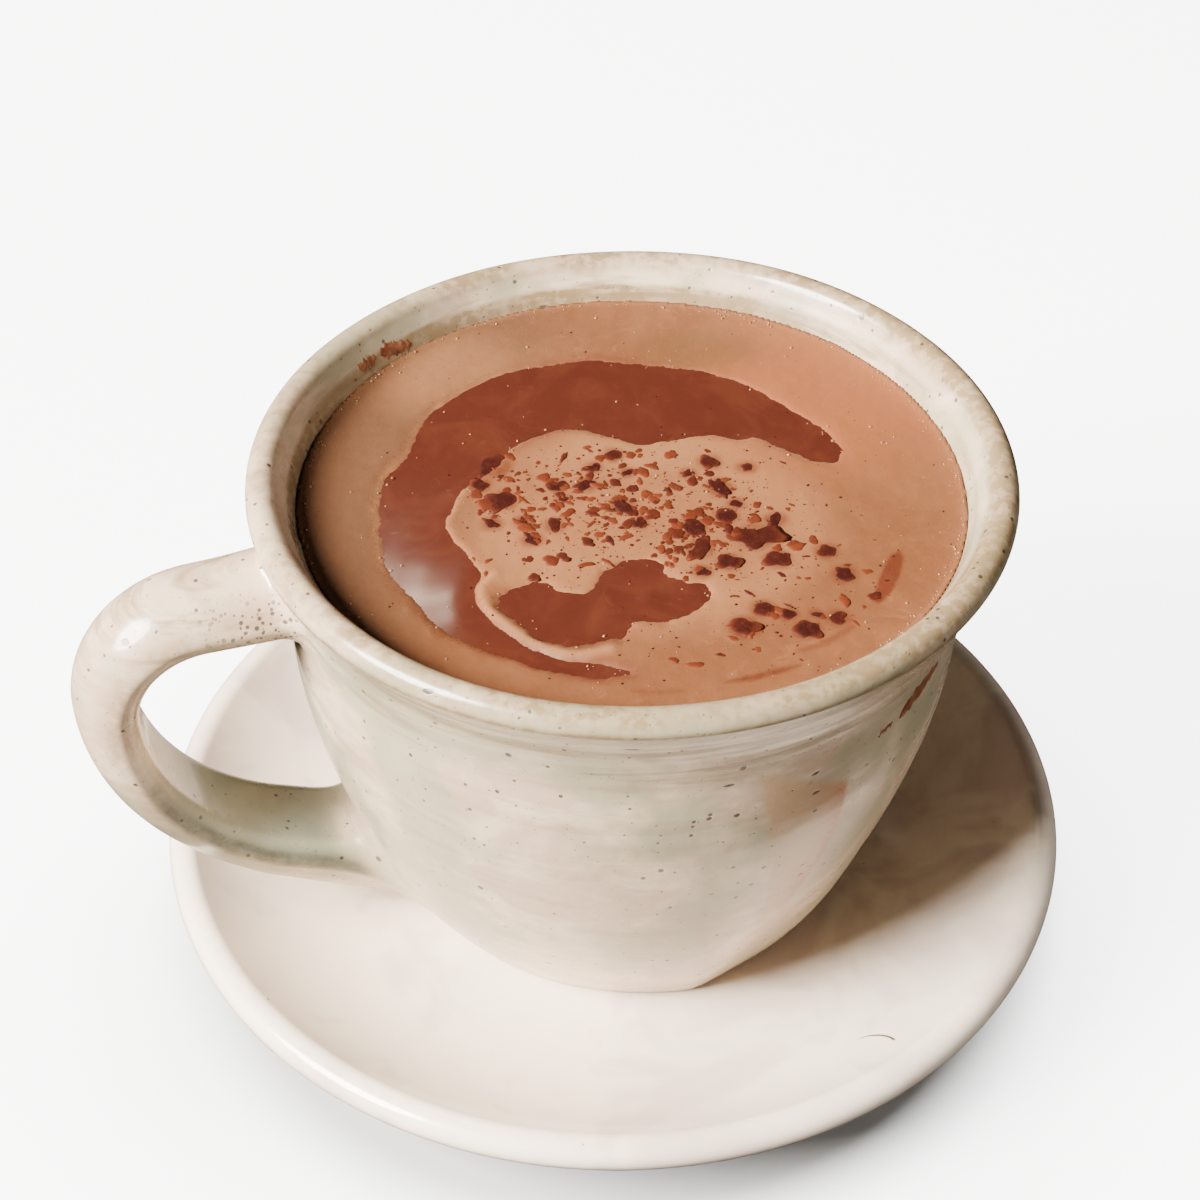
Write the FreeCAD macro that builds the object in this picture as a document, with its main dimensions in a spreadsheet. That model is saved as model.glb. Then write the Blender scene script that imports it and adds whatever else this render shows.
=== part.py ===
import FreeCAD, Part
import math
import os
import Sketcher
from FreeCAD import Vector

# A cup of hot chocolate on its saucer, in millimetres.  The origin is on the cup's axis, on the
# surface that the saucer stands on, with +Z up.  The handle points to -X, turned towards -Y.

# Each driving size: its name in the sheet, its value and what it is.
SIZES = [
    # The cup.  Its heights are measured from its own flat base.
    ("rim_radius", 50.0, "outermost radius of the lip"),
    ("cup_height", 72.3, "height of the lip's top above the cup's base"),
    ("wall", 4.2, "thickness of the cup's wall and of its rounded lip"),
    ("flare_depth", 4.0, "how far the lip stands out past the upright part of the wall"),
    ("flare_height", 17.3, "height of the lip's top above the upright part of the wall"),
    ("foot_radius", 29.4, "radius of the cup's base, before its edge is rounded"),
    ("foot_edge", 1.4, "rounding of the cup's bottom edge"),
    ("floor_thickness", 6.0, "thickness of the cup's bottom"),
    ("floor_round", 9.0, "rounding inside the cup, between its bottom and its wall"),
    # The drink.
    ("drink_drop", 6.5, "height of the lip's top above the drink"),
    # The handle: a strap with a flat inner face and a rounded outer face.
    ("handle_turn", 17.0, "turn of the handle from -X towards -Y, in degrees"),
    ("handle_drop", 10.7, "height of the lip's top above the middle of the strap's upper end"),
    ("handle_reach", 25.6, "reach of the strap's middle past the upright part of the wall"),
    ("top_bend", 13.5, "radius of the strap's upper bend"),
    ("low_rise", 9.9, "height of the side bend's lowest reach above the strap's lower end"),
    ("low_sweep", 122.0, "radius of the strap's gentle reverse bend, down to the wall"),
    ("low_end_height", 4.2, "height of the middle of the strap's lower end, inside the cup's bottom"),
    ("low_end_depth", 2.2, "how far that end lies inside the radius of the base"),
    ("strap_width", 15.0, "width of the strap"),
    ("strap_thickness", 8.0, "thickness of the strap"),
    ("strap_corner", 3.0, "rounding between the strap's flat face and its sides"),
    # The saucer.  Its heights are measured from the surface that it stands on.
    ("saucer_radius", 64.6, "outermost radius of the saucer's lip"),
    ("saucer_height", 18.1, "height of the saucer's lip"),
    ("saucer_thickness", 4.8, "thickness of the saucer and of its rolled lip"),
    ("saucer_offset", 1.8, "how far the saucer's middle lies from the cup's axis, towards -X"),
    ("well_height", 7.5, "height of the flat well that the cup stands on"),
    ("well_margin", 3.0, "how far the well reaches past the cup's base"),
    ("ring_radius", 38.0, "outer radius of the ring under the saucer, before its edge is rounded"),
    ("ring_width", 5.0, "width of that ring at the surface, before its edges are rounded"),
    ("ring_slope", 1.5, "how far each side of the ring slopes out over its height"),
    ("ring_edge", 0.8, "rounding of the ring's two edges"),
]

# Room that the shape which hollows the cup leaves above the lip.
CUT_ABOVE = 2.0

# Two edges or heights nearer than this are at the same place.
NEAR = 1e-4

# Numbers that a sketch knows its own origin and axes by, and the points of its lines and arcs.
ORIGIN = (-1, 1)
X_AXIS = -1
Y_AXIS = -2
START, END, CENTRE = 1, 2, 3


class Amount:
    """A number together with the formula that works it out from the sheet's sizes."""

    def __init__(self, number, text=None):
        self.number = number
        self.text = str(number) if text is None else text

    def combine(self, other, sign, number):
        other = other if isinstance(other, Amount) else Amount(other)
        return Amount(number(self.number, other.number), "(%s %s %s)" % (self.text, sign, other.text))

    def __add__(self, other):
        return self.combine(other, "+", lambda a, b: a + b)

    def __sub__(self, other):
        return self.combine(other, "-", lambda a, b: a - b)

    def __mul__(self, other):
        return self.combine(other, "*", lambda a, b: a * b)

    def __truediv__(self, other):
        return self.combine(other, "/", lambda a, b: a / b)

    def __neg__(self):
        return Amount(-self.number, "(0 - %s)" % self.text)


class Sizes:
    """The driving sizes, each one an Amount that reads its cell of the sheet."""

    def __init__(self, doc):
        sheet = doc.addObject("Spreadsheet::Sheet", "Sizes")
        for row, (name, number, meaning) in enumerate(SIZES, start=1):
            sheet.set("A%d" % row, meaning)
            sheet.set("B%d" % row, str(number))
            sheet.setAlias("B%d" % row, name)
        doc.recompute()
        for name, _, _ in SIZES:
            setattr(self, name, Amount(float(getattr(sheet, name)), "Sizes." + name))


class CupForm:
    """Sizes of the cup's wall that its outside, its inside, its handle and its drink share."""

    def __init__(self, size):
        self.upright_radius = size.rim_radius - size.flare_depth
        self.upright_height = size.cup_height - size.flare_height
        # The bowl is one arc from the base's edge to the upright part of the wall.
        run = self.upright_radius - size.foot_radius
        self.bowl_bend = (run * run + self.upright_height * self.upright_height) / (run * 2.0)
        self.bowl_x = self.upright_radius - self.bowl_bend
        # The flare bends the other way, from there until it touches the round of the lip.
        self.lip_bend = size.wall / 2.0
        self.lip_x = size.rim_radius - self.lip_bend
        self.lip_y = size.cup_height - self.lip_bend
        across = self.lip_x - self.upright_radius
        rise = self.lip_y - self.upright_height
        squares = across * across + rise * rise - self.lip_bend * self.lip_bend
        self.flare_bend = squares / ((across + self.lip_bend) * 2.0)
        self.flare_x = self.upright_radius + self.flare_bend
        self.drink_height = size.cup_height - size.drink_drop


class Outline:
    """A sketch on one of a body's own planes, with constraints bound to the sheet."""

    def __init__(self, body, name, role):
        self.sketch = body.newObject("Sketcher::SketchObject", name)
        plane = [item for item in body.Origin.OriginFeatures if item.Role == role][0]
        self.sketch.AttachmentSupport = [(plane, "")]
        self.sketch.MapMode = "FlatFace"

    def line(self, start, end):
        return self.sketch.addGeometry(Part.LineSegment(Vector(*start), Vector(*end)), False)

    def arc(self, centre, start, end):
        """An arc that runs anticlockwise round centre, from start to end."""
        radius = math.dist(centre, start)
        first = math.atan2(start[1] - centre[1], start[0] - centre[0])
        last = math.atan2(end[1] - centre[1], end[0] - centre[0])
        if last < first:
            last += 2.0 * math.pi
        circle = Part.Circle(Vector(*centre), Vector(0, 0, 1), radius)
        return self.sketch.addGeometry(Part.ArcOfCircle(circle, first, last), False)

    def rule(self, kind, *ends):
        return self.sketch.addConstraint(Sketcher.Constraint(kind, *ends))

    def bound(self, kind, ends, amount):
        index = self.rule(kind, *ends, amount.number)
        self.sketch.setExpression("Constraints[%d]" % index, amount.text)

    def across(self, item, point, amount):
        """Sets how far a point lies from the origin along the sketch's own X axis."""
        self.offset("DistanceX", item, point, amount)

    def up(self, item, point, amount):
        """Sets how far a point lies from the origin along the sketch's own Y axis."""
        self.offset("DistanceY", item, point, amount)

    def offset(self, kind, item, point, amount):
        if amount.number < 0.0:
            self.bound(kind, (item, point) + ORIGIN, -amount)
        else:
            self.bound(kind, ORIGIN + (item, point), amount)

    def radius(self, item, amount):
        self.bound("Radius", (item,), amount)

    def on_axis(self, item, point, axis):
        self.rule("PointOnObject", item, point, axis)

    def join(self, first, second, smooth=False):
        """Joins the two ends that lie on each other, in line where smooth is true."""
        pairs = [(a, b) for a in (START, END) for b in (START, END)]
        near = [self.gap(first, a, second, b) for a, b in pairs]
        a, b = pairs[near.index(min(near))]
        self.rule("Tangent" if smooth else "Coincident", first, a, second, b)

    def gap(self, first, a, second, b):
        return self.sketch.getPoint(first, a).distanceToPoint(self.sketch.getPoint(second, b))


def new_body(doc, name):
    body = doc.addObject("PartDesign::Body", name)
    body.Label = name
    return body


def turned(body, kind, name, outline):
    """A shape turned once round the body's Z axis, added or cut by its kind."""
    feature = body.newObject(kind, name)
    feature.Profile = outline.sketch
    feature.ReferenceAxis = (outline.sketch, ["V_Axis"])
    feature.Angle = 360.0
    body.Document.recompute()
    return feature


def rounded_rings(body, name, base, height, radius):
    """Rounds every circular edge of base at the given height."""
    edges = []
    for number, edge in enumerate(base.Shape.Edges, start=1):
        level = edge.isClosed() and edge.BoundBox.ZLength < NEAR
        if level and abs(edge.BoundBox.ZMin - height.number) < NEAR:
            edges.append("Edge%d" % number)
    fillet = body.newObject("PartDesign::Fillet", name)
    fillet.Base = (base, edges)
    fillet.setExpression("Radius", radius.text)
    body.Document.recompute()
    return fillet


def towards(start, end, length):
    """The point that lies length away from start, on the way to end."""
    share = length / math.dist(start, end)
    return (start[0] + share * (end[0] - start[0]), start[1] + share * (end[1] - start[1]))


def cup_outside(body, size, form):
    """The whole cup before it is hollowed: base, bowl, flare and the lip's outer half."""
    out = Outline(body, "cup_outside_outline", "XZ_Plane")
    base_end = (size.foot_radius.number, 0.0)
    upright = (form.upright_radius.number, form.upright_height.number)
    flare_centre = (form.flare_x.number, upright[1])
    lip_centre = (form.lip_x.number, form.lip_y.number)
    touch = towards(flare_centre, lip_centre, form.flare_bend.number)
    top = (lip_centre[0], size.cup_height.number)
    base = out.line((0.0, 0.0), base_end)
    bowl = out.arc((form.bowl_x.number, upright[1]), base_end, upright)
    flare = out.arc(flare_centre, touch, upright)
    lip = out.arc(lip_centre, touch, top)
    cover = out.line(top, (0.0, top[1]))
    axis = out.line((0.0, top[1]), (0.0, 0.0))
    out.rule("Coincident", base, START, *ORIGIN)
    out.rule("Horizontal", base)
    out.across(base, END, size.foot_radius)
    out.join(base, bowl)
    out.up(bowl, CENTRE, form.upright_height)
    out.across(bowl, END, form.upright_radius)
    out.up(bowl, END, form.upright_height)
    out.join(bowl, flare)
    out.up(flare, CENTRE, form.upright_height)
    out.join(flare, lip, smooth=True)
    out.radius(lip, form.lip_bend)
    out.across(lip, CENTRE, form.lip_x)
    out.up(lip, CENTRE, form.lip_y)
    out.across(lip, END, form.lip_x)
    out.join(lip, cover)
    out.rule("Horizontal", cover)
    out.on_axis(cover, END, Y_AXIS)
    out.join(cover, axis)
    out.rule("Coincident", axis, END, *ORIGIN)
    return turned(body, "PartDesign::Revolution", "cup_outside", out)


def inner_bowl(out, size, form, top_height):
    """Draws the cup's inner bottom and its bowl up to top_height, and returns both."""
    bend = form.bowl_bend - size.wall
    centre = (form.bowl_x.number, form.upright_height.number)

    def at(height):
        return (centre[0] + math.sqrt(bend.number ** 2 - (height - centre[1]) ** 2), height)

    floor_end = at(size.floor_thickness.number)
    bottom = out.line((0.0, floor_end[1]), floor_end)
    bowl = out.arc(centre, floor_end, at(top_height.number))
    out.on_axis(bottom, START, Y_AXIS)
    out.up(bottom, START, size.floor_thickness)
    out.rule("Horizontal", bottom)
    out.join(bottom, bowl)
    out.across(bowl, CENTRE, form.bowl_x)
    out.up(bowl, CENTRE, form.upright_height)
    out.radius(bowl, bend)
    out.up(bowl, END, top_height)
    return bottom, bowl


def cup_inside(body, size, form):
    """Hollows the cup: flat bottom, bowl, flare and the lip's inner half."""
    out = Outline(body, "cup_inside_outline", "XZ_Plane")
    bottom, bowl = inner_bowl(out, size, form, form.upright_height)
    upright = (form.upright_radius.number - size.wall.number, form.upright_height.number)
    flare_centre = (form.flare_x.number, upright[1])
    lip_centre = (form.lip_x.number, form.lip_y.number)
    touch = towards(flare_centre, lip_centre, form.flare_bend.number + size.wall.number)
    top = (lip_centre[0], size.cup_height.number)
    above = (top[0], top[1] + CUT_ABOVE)
    flare = out.arc(flare_centre, touch, upright)
    lip = out.arc(lip_centre, top, touch)
    riser = out.line(top, above)
    cover = out.line(above, (0.0, above[1]))
    axis = out.line((0.0, above[1]), (0.0, size.floor_thickness.number))
    out.join(bowl, flare)
    out.up(flare, CENTRE, form.upright_height)
    out.join(flare, lip, smooth=True)
    out.radius(lip, form.lip_bend)
    out.across(lip, CENTRE, form.lip_x)
    out.up(lip, CENTRE, form.lip_y)
    out.across(lip, START, form.lip_x)
    out.join(lip, riser)
    out.rule("Vertical", riser)
    out.up(riser, END, size.cup_height + CUT_ABOVE)
    out.join(riser, cover)
    out.rule("Horizontal", cover)
    out.on_axis(cover, END, Y_AXIS)
    out.join(cover, axis)
    out.join(axis, bottom)
    return turned(body, "PartDesign::Groove", "cup_inside", out)


def handle_route(body, size, form):
    """The strap's middle line: straight out under the lip, round the fingers, down to the base.

    The bend beside the finger gap is as large as the height between the strap's two ends allows.
    """
    route = Outline(body, "handle_route", "XZ_Plane")
    reach = form.upright_radius + size.handle_reach
    height = size.cup_height - size.handle_drop
    side_bend = height - size.top_bend - size.low_end_height - size.low_rise
    wall_middle = form.upright_radius - form.lip_bend
    end_reach = size.foot_radius - size.low_end_depth
    top_centre = (size.top_bend.number - reach.number, (height - size.top_bend).number)
    side_centre = (side_bend.number - reach.number, top_centre[1])
    low_end = (-end_reach.number, size.low_end_height.number)
    # The reverse bend touches the side bend and passes through the lower end.
    apart = math.dist(side_centre, low_end)
    both = side_bend.number + size.low_sweep.number
    along = (apart ** 2 + both ** 2 - size.low_sweep.number ** 2) / (2.0 * apart)
    off = math.sqrt(both ** 2 - along ** 2)
    way = ((low_end[0] - side_centre[0]) / apart, (low_end[1] - side_centre[1]) / apart)
    low_centre = (side_centre[0] + along * way[0] + off * way[1],
                  side_centre[1] + along * way[1] - off * way[0])
    start = (-wall_middle.number, height.number)
    bend_start = (top_centre[0], start[1])
    outermost = (-reach.number, top_centre[1])
    turn = towards(side_centre, low_centre, side_bend.number)
    straight = route.line(start, bend_start)
    top = route.arc(top_centre, bend_start, outermost)
    side = route.arc(side_centre, outermost, turn)
    low = route.arc(low_centre, low_end, turn)
    route.across(straight, START, -wall_middle)
    route.up(straight, START, height)
    route.rule("Horizontal", straight)
    route.join(straight, top, smooth=True)
    route.radius(top, size.top_bend)
    route.across(top, CENTRE, size.top_bend - reach)
    route.rule("Horizontal", top, CENTRE, top, END)
    route.join(top, side, smooth=True)
    route.radius(side, side_bend)
    route.join(side, low, smooth=True)
    route.radius(low, size.low_sweep)
    route.across(low, START, -end_reach)
    route.up(low, START, size.low_end_height)
    return route, [straight, top, side, low]


def strap_section(body, size, form):
    """The strap's section at the start of its route: flat below, rounded above."""
    section = Outline(body, "strap_section", "YZ_Plane")
    place = "AttachmentOffset.Base.z"
    section.sketch.setExpression(place, (form.lip_bend - form.upright_radius).text)
    middle = size.cup_height - size.handle_drop
    flat = middle - size.strap_thickness / 2.0
    side = flat + size.strap_corner
    half = size.strap_width / 2.0
    inset = half - size.strap_corner
    crown = size.strap_thickness - size.strap_corner
    crown_bend = (half * half + crown * crown) / (crown * 2.0)
    crown_centre = (0.0, (side + crown - crown_bend).number)
    right = (half.number, side.number)
    left = (-half.number, side.number)
    low_right = (inset.number, flat.number)
    low_left = (-inset.number, flat.number)
    face = section.line(low_left, low_right)
    right_corner = section.arc((inset.number, side.number), low_right, right)
    outer = section.arc(crown_centre, right, left)
    left_corner = section.arc((-inset.number, side.number), left, low_left)
    section.join(face, right_corner, smooth=True)
    section.join(right_corner, outer)
    section.join(outer, left_corner)
    section.join(left_corner, face, smooth=True)
    section.across(right_corner, CENTRE, inset)
    section.up(right_corner, CENTRE, side)
    section.up(right_corner, END, side)
    section.across(left_corner, CENTRE, -inset)
    section.up(left_corner, CENTRE, side)
    section.up(left_corner, START, side)
    section.radius(right_corner, size.strap_corner)
    section.radius(outer, crown_bend)
    return section


def handle(body, size, form):
    """Sweeps the strap's section along its route, joined to the cup's outside."""
    route, pieces = handle_route(body, size, form)
    section = strap_section(body, size, form)
    body.Document.recompute()
    strap = body.newObject("PartDesign::AdditivePipe", "handle")
    strap.Profile = section.sketch
    strap.Spine = (route.sketch, ["Edge%d" % (piece + 1) for piece in pieces])
    strap.Mode = "Standard"
    body.Document.recompute()
    return strap


def make_cup(doc, size, form):
    """The cup with its handle, in one piece, standing in the saucer's well."""
    body = new_body(doc, "cup")
    outside = cup_outside(body, size, form)
    rounded_rings(body, "foot_edge", outside, Amount(0.0), size.foot_edge)
    handle(body, size, form)
    inside = cup_inside(body, size, form)
    rounded_rings(body, "floor_round", inside, size.floor_thickness, size.floor_round)
    body.setExpression("Placement.Base.z", size.well_height.text)
    body.setExpression("Placement.Rotation.Angle", size.handle_turn.text)
    return body


def make_drink(doc, size, form):
    """The drink, which fills the cup face to face up to its level."""
    body = new_body(doc, "hot_chocolate")
    out = Outline(body, "drink_outline", "XZ_Plane")
    level = form.drink_height
    if level.number > form.upright_height.number:
        bottom, bowl = inner_bowl(out, size, form, form.upright_height)
        bend = form.flare_bend + size.wall
        rise = (level - form.upright_height).number
        centre = (form.flare_x.number, form.upright_height.number)
        surface_end = (centre[0] - math.sqrt(bend.number ** 2 - rise ** 2), level.number)
        side = out.arc(centre, surface_end, (centre[0] - bend.number, centre[1]))
        out.join(bowl, side)
        out.across(side, CENTRE, form.flare_x)
        out.up(side, CENTRE, form.upright_height)
        out.up(side, START, level)
    else:
        bottom, side = inner_bowl(out, size, form, level)
        surface_end = tuple(out.sketch.getPoint(side, END))[:2]
    surface = out.line(surface_end, (0.0, surface_end[1]))
    axis = out.line((0.0, surface_end[1]), (0.0, size.floor_thickness.number))
    out.join(side, surface)
    out.rule("Horizontal", surface)
    out.on_axis(surface, END, Y_AXIS)
    out.join(surface, axis)
    out.join(axis, bottom)
    filling = turned(body, "PartDesign::Revolution", "filling", out)
    rounded_rings(body, "drink_round", filling, size.floor_thickness, size.floor_round)
    body.setExpression("Placement.Base.z", size.well_height.text)
    return body


def make_saucer(doc, size):
    """The saucer: flat well, dished wall and rolled lip of one thickness, on a low ring."""
    body = new_body(doc, "saucer")
    out = Outline(body, "saucer_outline", "XZ_Plane")
    lip_bend = size.saucer_thickness / 2.0
    lip_x = size.saucer_radius - lip_bend
    lip_y = size.saucer_height - lip_bend
    well_radius = size.foot_radius + size.well_margin
    run = lip_x - well_radius
    rise = lip_y - size.well_height
    squares = run * run + rise * rise - lip_bend * lip_bend
    dish_bend = squares / ((rise + lip_bend) * 2.0)
    under_bend = dish_bend + size.saucer_thickness
    recess = size.well_height - size.saucer_thickness
    ring_inside = size.ring_radius - size.ring_width
    ring_top_inside = ring_inside - size.ring_slope
    ring_top_outside = size.ring_radius + size.ring_slope
    centre = (well_radius.number, (size.well_height + dish_bend).number)
    lip_centre = (lip_x.number, lip_y.number)
    touch_above = towards(centre, lip_centre, dish_bend.number)
    touch_below = towards(centre, lip_centre, under_bend.number)
    sideways = ring_top_outside.number - centre[0]
    ring_top = (ring_top_outside.number, centre[1] - math.sqrt(under_bend.number ** 2 - sideways ** 2))
    well_edge = (centre[0], size.well_height.number)
    recess_end = (ring_top_inside.number, recess.number)
    under = out.line((0.0, recess_end[1]), recess_end)
    inner_side = out.line(recess_end, (ring_inside.number, 0.0))
    ring = out.line((ring_inside.number, 0.0), (size.ring_radius.number, 0.0))
    outer_side = out.line((size.ring_radius.number, 0.0), ring_top)
    outer_dish = out.arc(centre, ring_top, touch_below)
    lip = out.arc(lip_centre, touch_below, touch_above)
    dish = out.arc(centre, well_edge, touch_above)
    well = out.line(well_edge, (0.0, well_edge[1]))
    axis = out.line((0.0, well_edge[1]), (0.0, recess_end[1]))
    out.on_axis(under, START, Y_AXIS)
    out.up(under, START, recess)
    out.rule("Horizontal", under)
    out.across(under, END, ring_top_inside)
    out.join(under, inner_side)
    out.on_axis(inner_side, END, X_AXIS)
    out.across(inner_side, END, ring_inside)
    out.join(inner_side, ring)
    out.rule("Horizontal", ring)
    out.across(ring, END, size.ring_radius)
    out.join(ring, outer_side)
    out.across(outer_side, END, ring_top_outside)
    out.join(outer_side, outer_dish)
    out.rule("Coincident", outer_dish, CENTRE, dish, CENTRE)
    out.join(outer_dish, lip, smooth=True)
    out.radius(lip, lip_bend)
    out.across(lip, CENTRE, lip_x)
    out.up(lip, CENTRE, lip_y)
    out.join(lip, dish, smooth=True)
    out.across(dish, CENTRE, well_radius)
    out.join(dish, well)
    out.across(well, START, well_radius)
    out.up(well, START, size.well_height)
    out.rule("Horizontal", well)
    out.on_axis(well, END, Y_AXIS)
    out.join(well, axis)
    out.join(axis, under)
    plate = turned(body, "PartDesign::Revolution", "plate", out)
    rounded_rings(body, "ring_edges", plate, Amount(0.0), size.ring_edge)
    body.setExpression("Placement.Base.x", (-size.saucer_offset).text)
    return body


def check(doc, bodies):
    """Stops before anything is written if an object failed or a shape is broken."""
    for item in doc.Objects:
        if "Invalid" in item.State or "Error" in item.State:
            raise RuntimeError("%s did not compute: %s" % (item.Name, item.State))
    for body in bodies:
        if body.Shape.isNull() or not body.Shape.isValid() or len(body.Shape.Solids) != 1:
            raise RuntimeError("%s is not one sound solid" % body.Label)


def main():
    doc = FreeCAD.newDocument("hot_chocolate_cup")
    size = Sizes(doc)
    form = CupForm(size)
    bodies = [make_cup(doc, size, form), make_drink(doc, size, form), make_saucer(doc, size)]
    doc.recompute()
    check(doc, bodies)
    os.makedirs("parts", exist_ok=True)
    for body in bodies:
        body.Shape.exportStep("parts/%s.step" % body.Label)
        print("%s: %.1f cubic centimetres" % (body.Label, body.Shape.Volume / 1000.0))


main()
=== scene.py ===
"""Hot chocolate with foam and chocolate flakes, in a speckled stoneware cup on its saucer."""
import math
import random

import bmesh
import bpy
import numpy as np
from bpy.props import FloatProperty, FloatVectorProperty, IntProperty, PointerProperty
from bpy.types import Operator, Panel, PropertyGroup
from mathutils import Matrix, Vector, noise


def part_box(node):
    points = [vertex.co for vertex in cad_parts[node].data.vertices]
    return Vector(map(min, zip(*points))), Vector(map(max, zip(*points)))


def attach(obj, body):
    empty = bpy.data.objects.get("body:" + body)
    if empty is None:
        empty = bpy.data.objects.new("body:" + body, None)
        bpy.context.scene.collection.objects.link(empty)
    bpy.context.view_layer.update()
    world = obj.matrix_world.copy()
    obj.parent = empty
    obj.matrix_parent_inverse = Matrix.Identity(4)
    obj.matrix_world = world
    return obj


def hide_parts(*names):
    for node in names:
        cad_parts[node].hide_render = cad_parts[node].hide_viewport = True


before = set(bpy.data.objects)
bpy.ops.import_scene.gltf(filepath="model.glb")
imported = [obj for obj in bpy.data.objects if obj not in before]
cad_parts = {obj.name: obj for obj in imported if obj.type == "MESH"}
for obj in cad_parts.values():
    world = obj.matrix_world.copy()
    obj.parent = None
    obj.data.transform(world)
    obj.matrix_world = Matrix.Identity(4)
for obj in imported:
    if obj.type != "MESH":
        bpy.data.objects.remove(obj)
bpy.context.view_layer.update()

bl_info = {
    "name": "Hot chocolate in a stoneware cup",
    "version": (1, 0, 0),
    "blender": (4, 5, 0),
    "location": "3D View > Sidebar > Hot chocolate",
    "description": "Makes a cup of hot chocolate on its saucer, with foam, flakes and glazes",
    "category": "Add Mesh",
}

# Shapes are worked out in millimetres, in the frame's axes, and written to meshes in metres.
MM = 0.001

# Points in a full turn of the cup and the saucer, and of the drink.
TURN_STEPS = 360
DRINK_TURN_STEPS = 384


def box_in_mm(node):
    low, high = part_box(node)
    return np.array(low) / MM, np.array(high) / MM


CUP_LOW, CUP_HIGH = box_in_mm("cup")
DRINK_LOW, DRINK_HIGH = box_in_mm("hot_chocolate")
SAUCER_LOW, SAUCER_HIGH = box_in_mm("saucer")
SEAT = float(CUP_LOW[2])
RIM_TOP = float(CUP_HIGH[2])
RIM_RADIUS = float(CUP_HIGH[1])
INNER_BOTTOM = float(DRINK_LOW[2])
LEVEL = float(DRINK_HIGH[2])
DRINK_RADIUS = float(DRINK_HIGH[1])
SAUCER_RADIUS = float(SAUCER_HIGH[1])
SAUCER_TOP = float(SAUCER_HIGH[2])
SAUCER_X = float(SAUCER_LOW[0] + SAUCER_HIGH[0]) / 2


# ---------------------------------------------------------------------------------------------
# Settings


def size(name, default, about):
    """A length in millimetres."""
    return FloatProperty(name=name, default=default, description=about + ", in millimetres", min=0.0)


def tint(name, default, about):
    return FloatVectorProperty(
        name=name, default=default, description=about, subtype="COLOR", size=3, min=0.0, max=1.0
    )


def watts(name, default, about):
    return FloatProperty(name=name, default=default, description=about, min=0.0, unit="POWER")


class CupSettings(PropertyGroup):
    wall: size("Wall", 4.2, "Thickness of the wall and of the rounded lip")
    flare_depth: size("Flare depth", 4.0, "How far the lip stands out past the upright wall")
    flare_height: size("Flare height", 17.3, "Height of the lip's top above the upright wall")
    foot_radius: size("Foot radius", 29.4, "Radius of the base before its edge is rounded")
    foot_edge: size("Foot edge", 1.4, "Rounding of the bottom edge")
    floor_round: size("Inner rounding", 9.0, "Rounding between the inner bottom and the wall")
    joint_blend: size("Joint blend", 7.0, "How far the handle's lower joint spreads over the wall")
    top_blend: size("Top joint blend", 3.2, "How far its upper joint spreads under the lip")
    handle_turn: FloatProperty(
        name="Handle turn", default=math.radians(17), subtype="ANGLE", unit="ROTATION",
        description="Turn of the handle from -X towards -Y",
    )
    handle_drop: size("Handle drop", 10.7, "Height of the lip's top above the strap's upper end")
    handle_reach: size("Handle reach", 25.6, "Reach of the strap past the upright wall")
    top_bend: size("Top bend", 13.5, "Radius of the strap's upper bend")
    low_rise: size("Low rise", 9.9, "Height of the side bend's lowest reach above the lower end")
    low_sweep: size("Low sweep", 122.0, "Radius of the strap's reverse bend")
    low_end_height: size("Low end height", 4.2, "Height of the strap's lower end above the base")
    low_end_depth: size("Low end depth", 2.2, "How far the lower end lies inside the foot radius")
    strap_width: size("Strap width", 15.0, "Width of the handle's strap")
    strap_thickness: size("Strap thickness", 8.0, "Thickness of the handle's strap")
    strap_corner: size("Strap corner", 3.0, "Rounding between its flat face and its sides")
    glaze: tint("Glaze", (0.56, 0.425, 0.285), "Main colour of the cup's glaze")
    thin_glaze: tint("Thin glaze", (0.185, 0.122, 0.058), "Colour where the glaze is thin")
    cool_glaze: tint("Cool glaze", (0.30, 0.265, 0.165), "Greenish grey of the glaze's thick parts")
    speck: tint("Specks", (0.020, 0.014, 0.009), "Colour of the iron specks")


class SaucerSettings(PropertyGroup):
    thickness: size("Thickness", 4.8, "Thickness of the saucer and of its rolled lip")
    well_margin: size("Well margin", 3.0, "How far the flat well reaches past the cup's foot")
    ring_radius: size("Ring radius", 38.0, "Outer radius of the ring under the saucer")
    ring_width: size("Ring width", 5.0, "Width of that ring")
    ring_slope: size("Ring slope", 1.5, "How far the ring's sides slope out")
    ring_edge: size("Ring edge", 0.8, "Rounding of the ring's edges")
    glaze: tint("Glaze", (0.82, 0.68, 0.53), "Colour of the saucer's glaze")


class DrinkSettings(PropertyGroup):
    foam_height: size("Foam height", 0.32, "Height of the foam above the liquid")
    meniscus: size("Meniscus", 0.5, "How far the drink climbs the wall")
    liquid: tint("Liquid", (0.047, 0.0105, 0.0058), "Colour of the liquid chocolate")
    foam: tint("Foam", (0.118, 0.0425, 0.0160), "Main colour of the foam")
    pale_foam: tint("Pale foam", (0.24, 0.105, 0.045), "Colour of the whitest foam")
    thin_foam: tint("Thin foam", (0.075, 0.020, 0.008), "Colour where the liquid shows through")


class FlakeSettings(PropertyGroup):
    small_count: IntProperty(name="Small flakes", default=600, min=0, description="Number of small flakes")
    crumb_count: IntProperty(name="Crumbs", default=760, min=0, description="Number of fine crumbs")
    seed: IntProperty(name="Seed", default=7, description="Seed of the scattered flakes and crumbs")
    dark: tint("Dark chocolate", (0.0170, 0.0016, 0.0010), "Colour of the flakes")


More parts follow.
